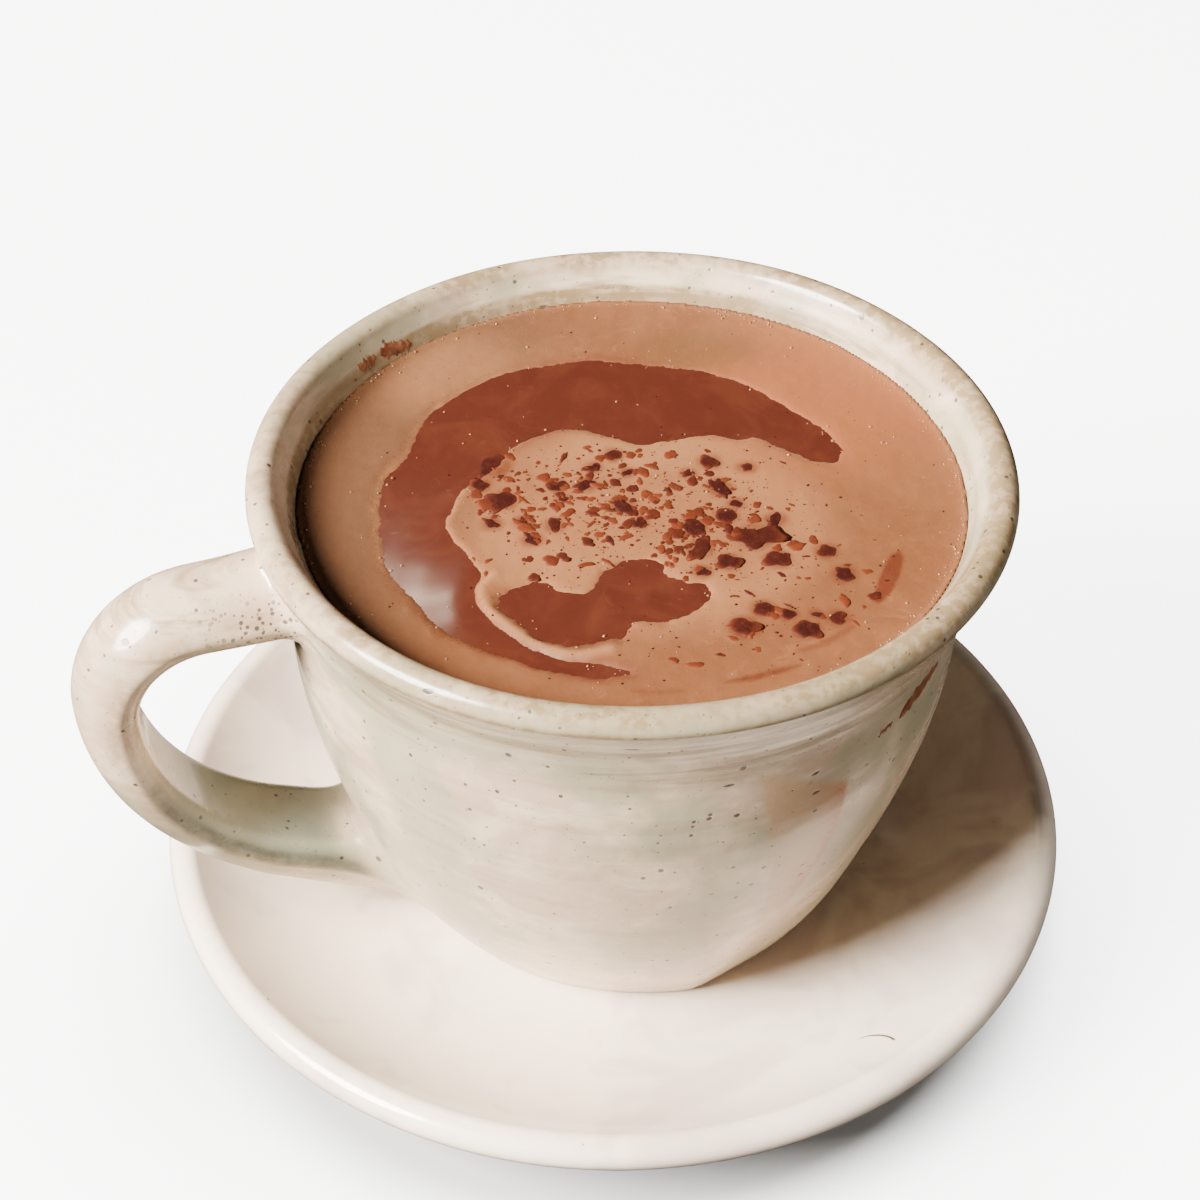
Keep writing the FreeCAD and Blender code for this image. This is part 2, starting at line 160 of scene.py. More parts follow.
class StageSettings(PropertyGroup):
    floor: tint("Floor", (0.42, 0.42, 0.415), "Colour of the floor")
    key_power: watts("Key light", 145.0, "Power of the large soft light at the left")
    window_power: watts("Window light", 0.085, "Power of the small light that the drink mirrors")
    front_power: watts("Front light", 19.0, "Power of the weak, broad light low at the front right")
    floor_power: watts("Floor light", 900.0, "Power of the light that falls on the floor alone")
    sky: FloatProperty(name="Room light", default=0.012, min=0.0,
                       description="Strength of the room's even light")


# ---------------------------------------------------------------------------------------------
# Outlines and meshes


def arc(centre, radius, first, last, step):
    """Points on an arc from the first angle to the last, about a step apart."""
    count = max(3, int(abs(last - first) * radius / step) + 2)
    angles = np.linspace(first, last, count)
    return np.stack([centre[0] + radius * np.cos(angles), centre[1] + radius * np.sin(angles)], 1)


def line(start, end, step):
    count = max(2, int(math.dist(start, end) / step) + 2)
    return np.linspace(start, end, count)


def chain(*stretches):
    """Joins stretches of an outline, without the points that two of them share."""
    points = [stretches[0][0]]
    for stretch in stretches:
        for point in stretch:
            if math.dist(point, points[-1]) > 1e-4:
                points.append(point)
    return np.array(points)


def direction(start, end):
    return math.atan2(end[1] - start[1], end[0] - start[0])


def turned(section, count):
    """What a section of (radius, height) sweeps in a full turn: its points, or its directions."""
    turn = np.arange(count) * (2 * math.pi / count)
    x = section[:, :1] * np.cos(turn)
    y = section[:, :1] * np.sin(turn)
    z = np.repeat(section[:, 1:], count, axis=1)
    return np.stack([x, y, z], -1).reshape(-1, 3)


def bands(rings, count, start=0):
    """The four-sided faces between neighbouring closed rings of count points each."""
    row = np.arange(count)
    after = (row + 1) % count
    faces = []
    for low in range(start, start + (rings - 1) * count, count):
        high = low + count
        faces += np.stack([low + row, high + row, high + after, low + after], 1).tolist()
    return faces


def lathe(outline, count, centre_x=0.0):
    """Turns an outline of (radius, height) round a vertical axis, closed at both of its ends."""
    rings = outline[1:-1]
    ends = np.array([[0.0, 0.0, outline[0, 1]], [0.0, 0.0, outline[-1, 1]]])
    points = np.concatenate([turned(rings, count), ends]) + np.array([centre_x, 0.0, 0.0])
    first, last = len(points) - 2, len(points) - 1
    base = (len(rings) - 1) * count
    faces = [(k, (k + 1) % count, first) for k in range(count)]
    faces += [(base + (k + 1) % count, base + k, last) for k in range(count)]
    return points, faces + bands(len(rings), count)


def make_piece(name, points, faces, material, replaced=(), values=None):
    """Makes a smooth, closed mesh from points in millimetres, and rides it on the one body."""
    mesh = bpy.data.meshes.new(name)
    mesh.from_pydata((np.asarray(points) * MM).tolist(), [], faces)
    for title, numbers in (values or {}).items():
        layer = mesh.attributes.new(title, "FLOAT", "POINT")
        layer.data.foreach_set("value", np.asarray(numbers, np.float32))
    work = bmesh.new()
    work.from_mesh(mesh)
    bmesh.ops.recalc_face_normals(work, faces=work.faces)
    work.to_mesh(mesh)
    work.free()
    mesh.shade_smooth()
    mesh.materials.append(material)
    piece = bpy.data.objects.new(name, mesh)
    bpy.context.scene.collection.objects.link(piece)
    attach(piece, "root")
    if replaced:
        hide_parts(*replaced)
    return piece


def joined(parts):
    """Joins lists of (points, faces) into one."""
    points, faces, start = [], [], 0
    for some_points, some_faces in parts:
        points.append(some_points)
        faces += [tuple(int(corner) + start for corner in face) for face in some_faces]
        start += len(some_points)
    return np.concatenate(points), faces


def spline(before, here, after, beyond, steps):
    """Points of a smooth curve from here towards after, by Catmull and Rom's formula."""
    stages = [0.5 * (2 * here + (after - before) * t
                     + (2 * before - 5 * here + 4 * after - beyond) * t ** 2
                     + (3 * here - before - 3 * after + beyond) * t ** 3)
              for t in np.arange(steps) / steps]
    return np.stack(stages, 1).reshape(-1, 2)


def smooth_loop(points, steps=10):
    """A closed smooth curve through given points."""
    p = np.array(points, float)
    return spline(np.roll(p, 1, 0), p, np.roll(p, -1, 0), np.roll(p, -2, 0), steps)


def trail(points, steps=12):
    """An open smooth curve through given points."""
    p = np.array(points, float)
    p = np.concatenate([[2 * p[0] - p[1]], p, [2 * p[-1] - p[-2]]])
    return np.concatenate([spline(p[:-3], p[1:-2], p[2:-1], p[3:], steps), p[-2:-1]])


def nearest(points, curve):
    """Distance from each point to the nearest of a curve's points, and that one's index."""
    best = np.full(len(points), 1e9)
    which = np.zeros(len(points), int)
    for start in range(0, len(points), 4000):
        part = points[start:start + 4000]
        gaps = np.linalg.norm(part[:, None] - curve[None], axis=2)
        which[start:start + 4000] = gaps.argmin(1)
        best[start:start + 4000] = gaps.min(1)
    return best, which


def inside(points, loop):
    """Which points lie inside a closed curve, by counting crossings."""
    result = np.zeros(len(points), bool)
    following = np.roll(loop, -1, 0)
    for (x0, y0), (x1, y1) in zip(loop, following):
        if y0 == y1:
            continue
        crosses = (points[:, 1] > min(y0, y1)) & (points[:, 1] <= max(y0, y1))
        at = x0 + (points[:, 1] - y0) * (x1 - x0) / (y1 - y0)
        result ^= crosses & (points[:, 0] < at)
    return result


def depth_in(points, loop):
    """Distance to a closed curve, positive inside it."""
    gaps, _ = nearest(points, loop)
    return np.where(inside(points, loop), gaps, -gaps)


def rough(points, scale, seed=0.0):
    """Smooth noise, from about -1 to 1, with bumps about a scale wide."""
    return np.array([noise.noise(Vector((p[0] / scale, p[1] / scale, seed))) for p in points])


def smooth_step(low, high, value):
    share = np.clip((value - low) / (high - low), 0.0, 1.0)
    return share * share * (3 - 2 * share)


def off_axis(points, x=0.0, y=0.0):
    """Level distance from each point to an upright axis, the cup's unless x and y are given."""
    return np.hypot(points[:, 0] - x, points[:, 1] - y)


def thickened(points, faces, depth):
    """Closes a sheet into a thin solid that reaches depth below it."""
    count = len(points)
    lower = points - np.array([0.0, 0.0, depth])
    used = {}
    for face in faces:
        for a, b in zip(face, face[1:] + face[:1]):
            used[(a, b)] = True
    closed = list(faces) + [tuple(count + corner for corner in reversed(face)) for face in faces]
    closed += [(b, a, count + a, count + b) for a, b in used if (b, a) not in used]
    return np.concatenate([points, lower]), closed


def tidy_points(points, faces, values):
    """Drops the points that no face uses."""
    kept = np.unique([corner for face in faces for corner in face])
    index = np.full(len(points), -1)
    index[kept] = np.arange(len(kept))
    faces = [tuple(int(index[corner]) for corner in face) for face in faces]
    return points[kept], faces, {title: numbers[kept] for title, numbers in values.items()}


# ---------------------------------------------------------------------------------------------
# Materials


class Field:
    """A node's socket that takes part in arithmetic: each operator adds its Math node."""

    def __init__(self, finish, socket):
        self.finish = finish
        self.socket = socket

    def maths(self, operation, *values):
        inputs = dict(enumerate(values))
        return self.finish.node("Math", {"operation": operation}, inputs)

    def __add__(self, other):
        return self.maths("ADD", self, other)

    def __radd__(self, other):
        return self.maths("ADD", other, self)

    def __sub__(self, other):
        return self.maths("SUBTRACT", self, other)

    def __rsub__(self, other):
        return self.maths("SUBTRACT", other, self)

    def __mul__(self, other):
        return self.maths("MULTIPLY", self, other)

    def __rmul__(self, other):
        return self.maths("MULTIPLY", other, self)

    def __truediv__(self, other):
        return self.maths("DIVIDE", self, other)

    def power(self, other):
        return self.maths("POWER", self, other)

    def absolute(self):
        return self.maths("ABSOLUTE", self)

    def at_most(self, other):
        return self.maths("MINIMUM", self, other)

    def at_least(self, other):
        return self.maths("MAXIMUM", self, other)

    def ramp(self, low, high):
        """0 below low and 1 above high, smooth between; it falls where low is the larger."""
        settings = {"interpolation_type": "SMOOTHSTEP"}
        return self.finish.node("MapRange", settings, {0: self, 1: low, 2: high, 3: 0.0, 4: 1.0})


class Finish:
    """A material with one Principled shader, built from expressions on its fields."""

    def __init__(self, name, **constants):
        self.material = bpy.data.materials.new(name)
        self.material.use_nodes = True
        self.tree = self.material.node_tree
        self.tree.nodes.clear()
        self.shader = self.tree.nodes.new("ShaderNodeBsdfPrincipled")
        output = self.tree.nodes.new("ShaderNodeOutputMaterial")
        self.tree.links.new(self.shader.outputs[0], output.inputs[0])
        for title, number in constants.items():
            self.shader.inputs[title.replace("_", " ")].default_value = number
        place = self.node("TexCoord", output="Object")
        self.place = self.node("VectorMath", {"operation": "SCALE"}, {0: place, "Scale": 1 / MM})

    def node(self, kind, settings=None, inputs=None, output=0):
        """Adds a node: its settings first, then its inputs, each a number, a colour or a field."""
        node = self.tree.nodes.new("ShaderNode" + kind)
        for title, value in (settings or {}).items():
            setattr(node, title, value)
        for title, value in (inputs or {}).items():
            if isinstance(value, Field):
                self.tree.links.new(value.socket, node.inputs[title])
            else:
                node.inputs[title].default_value = value
        return Field(self, node.outputs[output])

    def noise(self, wide, detail=2.0, roughness=0.5, distortion=0.0, place=None):
        """Noise from 0 to 1 whose bumps are about wide millimetres across."""
        return self.node("TexNoise", {}, {"Vector": place or self.place, "Scale": 1 / wide,
                                          "Detail": detail, "Roughness": roughness,
                                          "Distortion": distortion})

    def stretched(self, x, y, z):
        """The place, scaled along each axis, so that noise on it becomes streaks."""
        return self.node("VectorMath", {"operation": "MULTIPLY"}, {0: self.place, 1: (x, y, z)})

    def dots(self, apart, radius, share, place=None):
        """Small round dots on a share of the cells of a loose grid, with uneven sizes."""
        inputs = {"Vector": place or self.place, "Scale": 1 / apart, "Randomness": 1.0}
        gap = self.node("TexVoronoi", {}, inputs)
        cell = self.node("TexVoronoi", {}, inputs, output="Color")
        parts = {title: self.node("SeparateColor", {}, {0: cell}, output=title)
                 for title in ("Red", "Green")}
        reach = (radius / apart) * (0.35 + parts["Green"] * 0.9)
        return (gap / reach).ramp(1.25, 0.75) * parts["Red"].ramp(1 - share - 0.01, 1 - share + 0.01)

    def axis(self, title):
        return self.node("SeparateXYZ", {}, {0: self.place}, output=title)

    def attribute(self, title):
        return self.node("Attribute", {"attribute_name": title}, output="Fac")

    def mix(self, share, first, second):
        return self.node("Mix", {"data_type": "RGBA"}, {0: share, 6: colour(first), 7: colour(second)}, 2)

    def coated(self, base, *coats):
        """A colour under coats, each a share and the colour that it brings."""
        for share, tone in coats:
            base = self.mix(share, base, tone)
        return base

    def bump(self, height, strength, distance):
        """Relief of a height field; distance is in metres."""
        self.link("Normal", self.node("Bump", {}, {"Height": height, "Strength": strength,
                                                   "Distance": distance}, output="Normal"))

    def link(self, title, value):
        self.tree.links.new(value.socket, self.shader.inputs[title])


def colour(value):
    return value if isinstance(value, Field) else (*tuple(value)[:3], 1.0)


def speckled_glaze(settings):
    """Glossy cream glaze over stoneware: cloudy, thin on edges, with iron specks and throwing rings, and
    painted shade under the lip, on the rim's right, on the inner wall, in the handle's crease and beside a
    foot ridge.
    """
    glaze = Finish("speckled_glaze", Coat_Weight=0.25, Coat_Roughness=0.08, IOR=1.45)
    height = glaze.axis("Z")
    cloud = glaze.noise(19.0, 3.0, 0.6)
    patch = glaze.noise(12.0, 4.0, 0.6, 0.6, glaze.stretched(0.8, 0.8, 1.2))
    streak = glaze.noise(9.0, 4.0, 0.65, 0.3, glaze.stretched(0.30, 0.30, 3.4))
    fine = glaze.noise(1.6, 2.0, 0.6)
    under_lip = height.ramp(RIM_TOP - 17.0, RIM_TOP - 9.0) * height.ramp(RIM_TOP - 1.5, RIM_TOP - 4.5)
    washed = streak.ramp(0.50, 0.64) * (0.16 + under_lip * 0.62)
    # The thin marks are thin glaze, and also painted shade under the lip, on the rim's right and on the inner
    # wall's left and back.
    worn_and_shaded = glaze.attribute("thin") * (0.62 + 0.75 * fine.ramp(0.35, 0.65) * patch.ramp(0.3, 0.6))
    # The green marks are greenish glaze, and also the painted shade beside the foot's facet ridge.
    green_and_ridge_shade = glaze.attribute("green_and_ridge_shade") * (0.6 + 0.4 * cloud.ramp(0.3, 0.7))
    drip = (glaze.attribute("drip") * (0.9 + 0.3 * streak.ramp(0.3, 0.7))).at_most(0.95)
    # Painted shade along the handle's crease.
    crease_shade = glaze.attribute("crease_shade") * (0.35 + 0.9 * glaze.noise(2.2, 3.0, 0.7))
    freckle = glaze.dots(1.95, 0.25, 0.62).at_least(glaze.dots(4.8, 0.42, 0.45))
    pit = glaze.dots(3.9, 0.34, 0.22, glaze.stretched(0.34, 1.0, 1.2))
    crowd = glaze.dots(0.75, 0.27, 0.9) * glaze.attribute("speckled")
    dust = glaze.dots(1.0, 0.13, 0.7) * 0.55
    specks = freckle.at_least(crowd).at_least(dust).at_least(pit)
    glaze.link("Base Color", glaze.coated(
        settings.glaze,
        (patch.ramp(0.42, 0.58) * 0.85, (0.42, 0.285, 0.195)),
        (cloud.ramp(0.43, 0.60) * 0.85, settings.cool_glaze),
        (washed, settings.thin_glaze),
        (worn_and_shaded.at_most(0.92), settings.thin_glaze),
        (green_and_ridge_shade, settings.cool_glaze),
        (glaze.attribute("panel") * 0.85, (0.41, 0.255, 0.140)),
        (drip, (0.32, 0.110, 0.040)),
        (glaze.attribute("mossy") * (0.6 + 0.4 * cloud), (0.195, 0.222, 0.165)),
        (crease_shade.at_most(0.9), (0.070, 0.066, 0.042)),
        (specks * (0.6 + 0.4 * fine), settings.speck),
    ))
    glaze.link("Roughness", 0.22 + 0.12 * cloud + 0.10 * specks + 0.10 * washed)
    rings = glaze.noise(2.4, 1.0, 0.5, 0.2, glaze.stretched(0.05, 0.05, 1.0))
    relief = rings * (0.25 + under_lip) * 0.6 + glaze.noise(7.0, 2.0) * 0.5 + fine * 0.06 - specks * 0.14
    glaze.bump(relief, 0.6, 0.0006)
    return glaze.material


def cream_glaze(settings):
    """The saucer's smoother, whiter glaze, with few specks and slow waves."""
    glaze = Finish("cream_glaze", Coat_Weight=0.4, Coat_Roughness=0.05, IOR=1.5)
    cloud = glaze.noise(30.0, 3.0, 0.55)
    fine = glaze.noise(1.2, 2.0, 0.6)
    specks = glaze.dots(6.0, 0.26, 0.16).at_least(glaze.dots(2.6, 0.12, 0.25) * 0.5)
    # One fine curved hair mark, at the front right of the dish.
    across, deep = glaze.axis("X"), glaze.axis("Y")
    bow = ((across - 32.3) * (across - 32.3) + (deep + 44.6) * (deep + 44.6)).power(0.5)
    hair = (bow - 3.3).absolute().ramp(0.26, 0.10) * across.ramp(30.0, 33.5) * deep.ramp(-44.2, -43.6)
    glaze.link("Base Color", glaze.coated(
        settings.glaze,
        (cloud.ramp(0.40, 0.66) * 0.5, (0.66, 0.56, 0.47)),
        (glaze.noise(17.0, 3.0, 0.6, 0.5).ramp(0.48, 0.66) * 0.75, (0.60, 0.46, 0.39)),
        (glaze.attribute("thin") * (0.4 + 0.6 * fine.ramp(0.3, 0.7)), (0.50, 0.42, 0.31)),
        (specks * 0.8, (0.07, 0.055, 0.04)),
        (hair, (0.06, 0.045, 0.03)),
    ))
    glaze.link("Roughness", 0.16 + 0.12 * cloud + 0.08 * specks)
    glaze.bump(glaze.noise(14.0, 2.0) * 0.6 + fine * 0.03 - specks * 0.1, 0.5, 0.0006)
    return glaze.material


def liquid_chocolate(settings):
    """Glossy reddish brown drink, slightly cloudy with milk."""
    drink = Finish("liquid_chocolate", IOR=1.34, Subsurface_Weight=0.12, Subsurface_Scale=0.002,
                   Subsurface_Radius=(1.0, 0.35, 0.2))
    swirl = drink.noise(11.0, 4.0, 0.6, 1.6)
    milk = drink.noise(3.0, 3.0, 0.6, 2.2)
    drink.link("Base Color", drink.coated(
        settings.liquid,
        (swirl.ramp(0.42, 0.70) * 0.45, (0.072, 0.0195, 0.0090)),
        (milk.ramp(0.60, 0.80) * 0.22, settings.foam),
    ))
    drink.link("Roughness", 0.06 + 0.04 * milk)
    drink.bump(drink.noise(16.0, 1.0, 0.4, 0.5), 0.12, 0.0006)
    return drink.material


def milk_foam(settings):
    """Fine tan foam: darker where it is thin or stained, with pinprick bubbles, painted shade on its left and
    a painted glint along its left border.
    """
    foam = Finish("milk_foam", IOR=1.35, Subsurface_Weight=0.18, Subsurface_Scale=0.0015,
                  Subsurface_Radius=(1.0, 0.5, 0.3))
    cloud = foam.noise(15.0, 4.0, 0.6, 0.8)
    streak = foam.noise(5.0, 4.0, 0.65, 2.0)
    grain = foam.noise(0.7, 3.0, 0.7)
    stained = (foam.attribute("stain") * (0.35 + 1.3 * foam.noise(1.6, 3.0, 0.6))).at_most(0.92)
    pins = foam.dots(0.9, 0.13, 0.22) * (0.25 + foam.attribute("edge") * 0.75)
    dust = foam.dots(0.95, 0.11, 0.45) * (0.15 + foam.attribute("dusty"))
    foam.link("Base Color", foam.coated(
        settings.thin_foam,
        (foam.attribute("body").ramp(0.0, 2.2) * 0.85 + 0.15, settings.foam),
        (cloud.ramp(0.38, 0.68) * 0.4, (0.165, 0.066, 0.026)),
        (foam.attribute("island") * 0.7, (0.215, 0.088, 0.035)),
        (streak.ramp(0.56, 0.76) * 0.28, settings.pale_foam),
        (foam.attribute("warm") * 0.75, (0.200, 0.062, 0.020)),
        # Painted shade over the foam's left, where the cup's rim shades it, a little greyer.
        (foam.attribute("left_shade") * (0.7 + 0.3 * cloud), (0.078, 0.0345, 0.0160)),
        (foam.attribute("haze") * (0.5 + 0.5 * cloud), (0.10, 0.042, 0.014)),
        # Pale foam, with a painted glint along the foam's left border.
        (foam.attribute("pale_and_glint") * (0.55 + 0.45 * grain), settings.pale_foam),
        (stained, (0.070, 0.014, 0.005)),
        (pins * 0.45, settings.pale_foam),
        (dust.at_most(0.85), (0.045, 0.010, 0.004)),
    ))
    foam.link("Roughness", 0.34 + 0.16 * grain + 0.06 * streak - 0.2 * foam.attribute("wet"))
    foam.bump(grain * 0.35 + pins * 0.6 + streak * 0.25, 0.35, 0.00025)
    return foam.material


def dark_flakes(settings):
    """Softened dark chocolate: dull, with melted, slightly wet edges."""
    flakes = Finish("dark_flakes", IOR=1.35, Specular_IOR_Level=0.2)
    blot = flakes.noise(1.1, 3.0, 0.6)
    tone = (flakes.attribute("tone") + blot.ramp(0.45, 0.75) * 0.25).at_most(1.0)
    base = flakes.mix(tone, settings.dark, (0.088, 0.0165, 0.0046))
    flakes.link("Base Color", base)
    flakes.link("Roughness", 0.55 + 0.25 * blot)
    flakes.bump(flakes.noise(0.45, 3.0, 0.7), 0.5, 0.00015)
    return flakes.material


def dried_chocolate():
    """A thin smear of dried drink."""
    smear = Finish("dried_chocolate", IOR=1.45)
    blot = smear.noise(1.3, 3.0, 0.65)
    base = smear.mix(blot.ramp(0.35, 0.7), (0.12, 0.034, 0.014), (0.25, 0.095, 0.044))
    smear.link("Base Color", base)
    smear.link("Roughness", 0.34 + 0.2 * blot)
    smear.bump(blot, 0.4, 0.0002)
    return smear.material


def bubble_film(settings):
    """The wet skin of the larger bubbles."""
    film = Finish("bubble_film", IOR=1.35, Coat_Weight=0.6, Coat_Roughness=0.05)
    tone = film.noise(1.0, 2.0)
    film.link("Base Color", film.mix(tone, settings.foam, settings.pale_foam))
    film.link("Roughness", 0.12 + 0.12 * tone)
    return film.material


# ---------------------------------------------------------------------------------------------
# Cup


class CupShape:
    """The cup's wall and handle, in millimetres from the frame's origin."""

    def __init__(self, s):
        self.s = s
        self.upright = RIM_RADIUS - s.flare_depth
        self.upright_top = RIM_TOP - s.flare_height
        run, rise = self.upright - s.foot_radius, self.upright_top - SEAT
        self.bowl_bend = (run * run + rise * rise) / (2 * run)
        self.bowl_centre = (self.upright - self.bowl_bend, self.upright_top)
        self.lip_bend = s.wall / 2
        self.lip_centre = (RIM_RADIUS - self.lip_bend, RIM_TOP - self.lip_bend)
        out, up = self.lip_centre[0] - self.upright, self.lip_centre[1] - self.upright_top
        self.flare_bend = (out ** 2 + up ** 2 - self.lip_bend ** 2) / (2 * (out + self.lip_bend))
        self.flare_centre = (self.upright + self.flare_bend, self.upright_top)
        self.lip_start = direction(self.flare_centre, self.lip_centre)

    def inner_wall(self, step, into_wall=0.0):
        """The inside, from the lip down to the middle of the inner bottom."""
        s = self.s
        flare = self.flare_bend + s.wall - into_wall
        bend = self.bowl_bend - s.wall + into_wall
        floor = INNER_BOTTOM - into_wall
        round_z = floor + s.floor_round
        reach = bend - s.floor_round
        drop = round_z - self.bowl_centre[1]
        corner = (self.bowl_centre[0] + math.sqrt(reach ** 2 - drop ** 2), round_z)
        corner_turn = direction(self.bowl_centre, corner)
        return chain(
            arc(self.flare_centre, flare, self.lip_start, math.pi, step),
            arc(self.bowl_centre, bend, 0.0, corner_turn, step),
            arc(corner, s.floor_round, corner_turn, -math.pi / 2, step),
            line((corner[0], floor), (0.0, floor), 1.5),
        )

    def outline(self, step=0.8):
        """The whole section: from the middle of the base, up the outside, over the lip and down."""
        s = self.s
        foot_z = SEAT + s.foot_edge
        drop = foot_z - self.bowl_centre[1]
        foot_x = self.bowl_centre[0] + math.sqrt((self.bowl_bend - s.foot_edge) ** 2 - drop ** 2)
        foot = (foot_x, foot_z)
        foot_turn = direction(self.bowl_centre, foot)
        return chain(
            line((0.0, SEAT), (foot_x, SEAT), 1.5),
            arc(foot, s.foot_edge, -math.pi / 2, foot_turn, 0.25),
            arc(self.bowl_centre, self.bowl_bend, foot_turn, 0.0, step),
            arc(self.flare_centre, self.flare_bend, math.pi, self.lip_start, step),
            arc(self.lip_centre, self.lip_bend, self.lip_start - math.pi, self.lip_start, 0.22),
            self.inner_wall(step),
        )

    def wall_radius(self, height, into_wall=0.0):
        """Radius of the wall's outer face at a height, or of a face that lies some way into it."""
        if height > self.upright_top:
            gap = height - self.flare_centre[1]
            return self.flare_centre[0] - math.sqrt((self.flare_bend + into_wall) ** 2 - gap ** 2)
        gap = height - self.bowl_centre[1]
        return self.bowl_centre[0] + math.sqrt((self.bowl_bend - into_wall) ** 2 - gap ** 2)

    def wall_distance(self, points):
        """Distance outside the wall's outer face, negative within it."""
        radius = off_axis(points)
        height = points[:, 2]
        bowl = np.hypot(radius - self.bowl_centre[0], height - self.bowl_centre[1]) - self.bowl_bend
        flare = self.flare_bend - np.hypot(radius - self.flare_centre[0], height - self.flare_centre[1])
        lip = np.hypot(radius - self.lip_centre[0], height - self.lip_centre[1]) - self.lip_bend
        lip_low = self.lip_centre[1] - self.lip_bend / 2
        return np.where(height < self.upright_top, bowl, np.where(height < lip_low, flare, lip))

    def handle_route(self, step=0.8):
        """The strap's middle line as (reach from the cup's axis, height), from the top joint down."""
        s = self.s
        top = RIM_TOP - s.handle_drop
        low = (s.foot_radius - s.low_end_depth, SEAT + s.low_end_height)
        side_bend = top - low[1] - s.top_bend - s.low_rise
        reach = self.upright + s.handle_reach
        top_centre = (reach - s.top_bend, top - s.top_bend)
        side_centre = (reach - side_bend, top_centre[1])
        apart = math.dist(side_centre, low)
        both = side_bend + s.low_sweep
        along = (apart ** 2 + both ** 2 - s.low_sweep ** 2) / (2 * apart)
        off = math.sqrt(both ** 2 - along ** 2)
        way = ((low[0] - side_centre[0]) / apart, (low[1] - side_centre[1]) / apart)
        low_centre = (side_centre[0] + along * way[0] - off * way[1],
                      side_centre[1] + along * way[1] + off * way[0])
        return chain(
            line((self.upright - s.wall / 2, top), (top_centre[0], top), step),
            arc(top_centre, s.top_bend, math.pi / 2, 0.0, step),
            arc(side_centre, side_bend, 0.0, direction(side_centre, low_centre), step),
            arc(low_centre, s.low_sweep, direction(low_centre, side_centre),
                direction(low_centre, low), step),
        )

    def strap_section(self):
        """The strap's section as (across, out of the bend): flat inside, rounded outside."""
        s = self.s
        half = s.strap_width / 2
        inset = half - s.strap_corner
        side = s.strap_corner - s.strap_thickness / 2
        crown = s.strap_thickness - s.strap_corner
        crown_bend = (half * half + crown * crown) / (2 * crown)
        crown_centre = (0.0, side + crown - crown_bend)
        crown_turn = math.atan2(crown_bend - crown, half)
        loop = chain(
            line((-inset, -s.strap_thickness / 2), (inset, -s.strap_thickness / 2), 0.7),
            arc((inset, side), s.strap_corner, -math.pi / 2, 0.0, 0.5),
            arc(crown_centre, crown_bend, crown_turn, math.pi - crown_turn, 0.6),
            arc((-inset, side), s.strap_corner, math.pi, 1.5 * math.pi, 0.5),
        )
        return loop[:-1]

    def to_strap(self, points):
        """Splits points into reach from the axis, distance across the strap, and height."""
        turn = self.s.handle_turn
        reach = -points[:, 0] * math.cos(turn) - points[:, 1] * math.sin(turn)
        across = points[:, 0] * math.sin(turn) - points[:, 1] * math.cos(turn)
        return reach, across, points[:, 2]

    def from_strap(self, reach, across, height):
        turn = self.s.handle_turn
        x = -reach * math.cos(turn) + across * math.sin(turn)
        y = -reach * math.sin(turn) - across * math.cos(turn)
        return np.stack([x, y, height], -1)

    def beside_strap(self, points, step=0.8):
        """Distance from the strap's middle line, share along it, and offset out of its bend."""
        route = self.handle_route(step)
        reach, _, height = self.to_strap(points)
        flat = np.stack([reach, height], 1)
        gaps, which = nearest(flat, route)
        offset = ((flat - route[which]) * outward(route)[which]).sum(1)
        return gaps, which / (len(route) - 1), offset

    def strap_distance(self, points):
        """Distance outside the strap, negative within it."""
        _, across, _ = self.to_strap(points)
        _, _, offset = self.beside_strap(points)
        section = self.strap_section()
        place = np.stack([across, offset], 1)
        gaps, _ = nearest(place, denser(section, 0.12))
        return np.where(inside(place, section), -gaps, gaps)

    def blended(self, points, normals):
        """Moves points out along their normals, so that wall and strap run into each other."""
        moved = points.copy()
        high = smooth_step(SEAT + 30.0, SEAT + 50.0, points[:, 2])
        spreads = self.s.joint_blend * (1 - high) + self.s.top_blend * high
        near = self.near_joints(points)
        if not near.any():
            return moved
        place, way, spread = points[near], normals[near], spreads[near]
        travel = np.zeros(len(place))
        for _ in range(9):
            at = place + way * travel[:, None]
            gap = smooth_least(self.wall_distance(at), self.strap_distance(at), spread)
            travel = np.clip(travel - 0.85 * np.minimum(gap, 0.0), 0.0, 3.0)
        moved[near] = place + way * travel[:, None]
        return moved

    def near_joints(self, points):
        """Points that lie near both the wall's outer face and the strap."""
        reach, across, _ = self.to_strap(points)
        gaps, _, _ = self.beside_strap(points, 3.0)
        wall = self.wall_distance(points)
        return (gaps < 17) & (np.abs(across) < 17) & (wall > -1.2) & (wall < 14) & (reach > 15)


def smooth_least(first, second, spread):
    """The smaller of two distances, rounded where they are about equal."""
    overlap = np.maximum(spread - np.abs(first - second), 0.0)
    return np.minimum(first, second) - overlap ** 2 / (4 * spread)


def outward(route):
    """Unit vectors at right angles to a route, on its left."""
    along = np.gradient(route, axis=0)
    along /= np.linalg.norm(along, axis=1)[:, None]
    return np.stack([-along[:, 1], along[:, 0]], 1)


def denser(loop, step):
    """Points about a step apart along a closed loop."""
    parts = [np.linspace(a, b, max(2, int(math.dist(a, b) / step)), endpoint=False)
             for a, b in zip(loop, np.roll(loop, -1, 0))]
    return np.concatenate(parts)


def azimuth(points):
    return np.degrees(np.arctan2(points[:, 1], points[:, 0]))


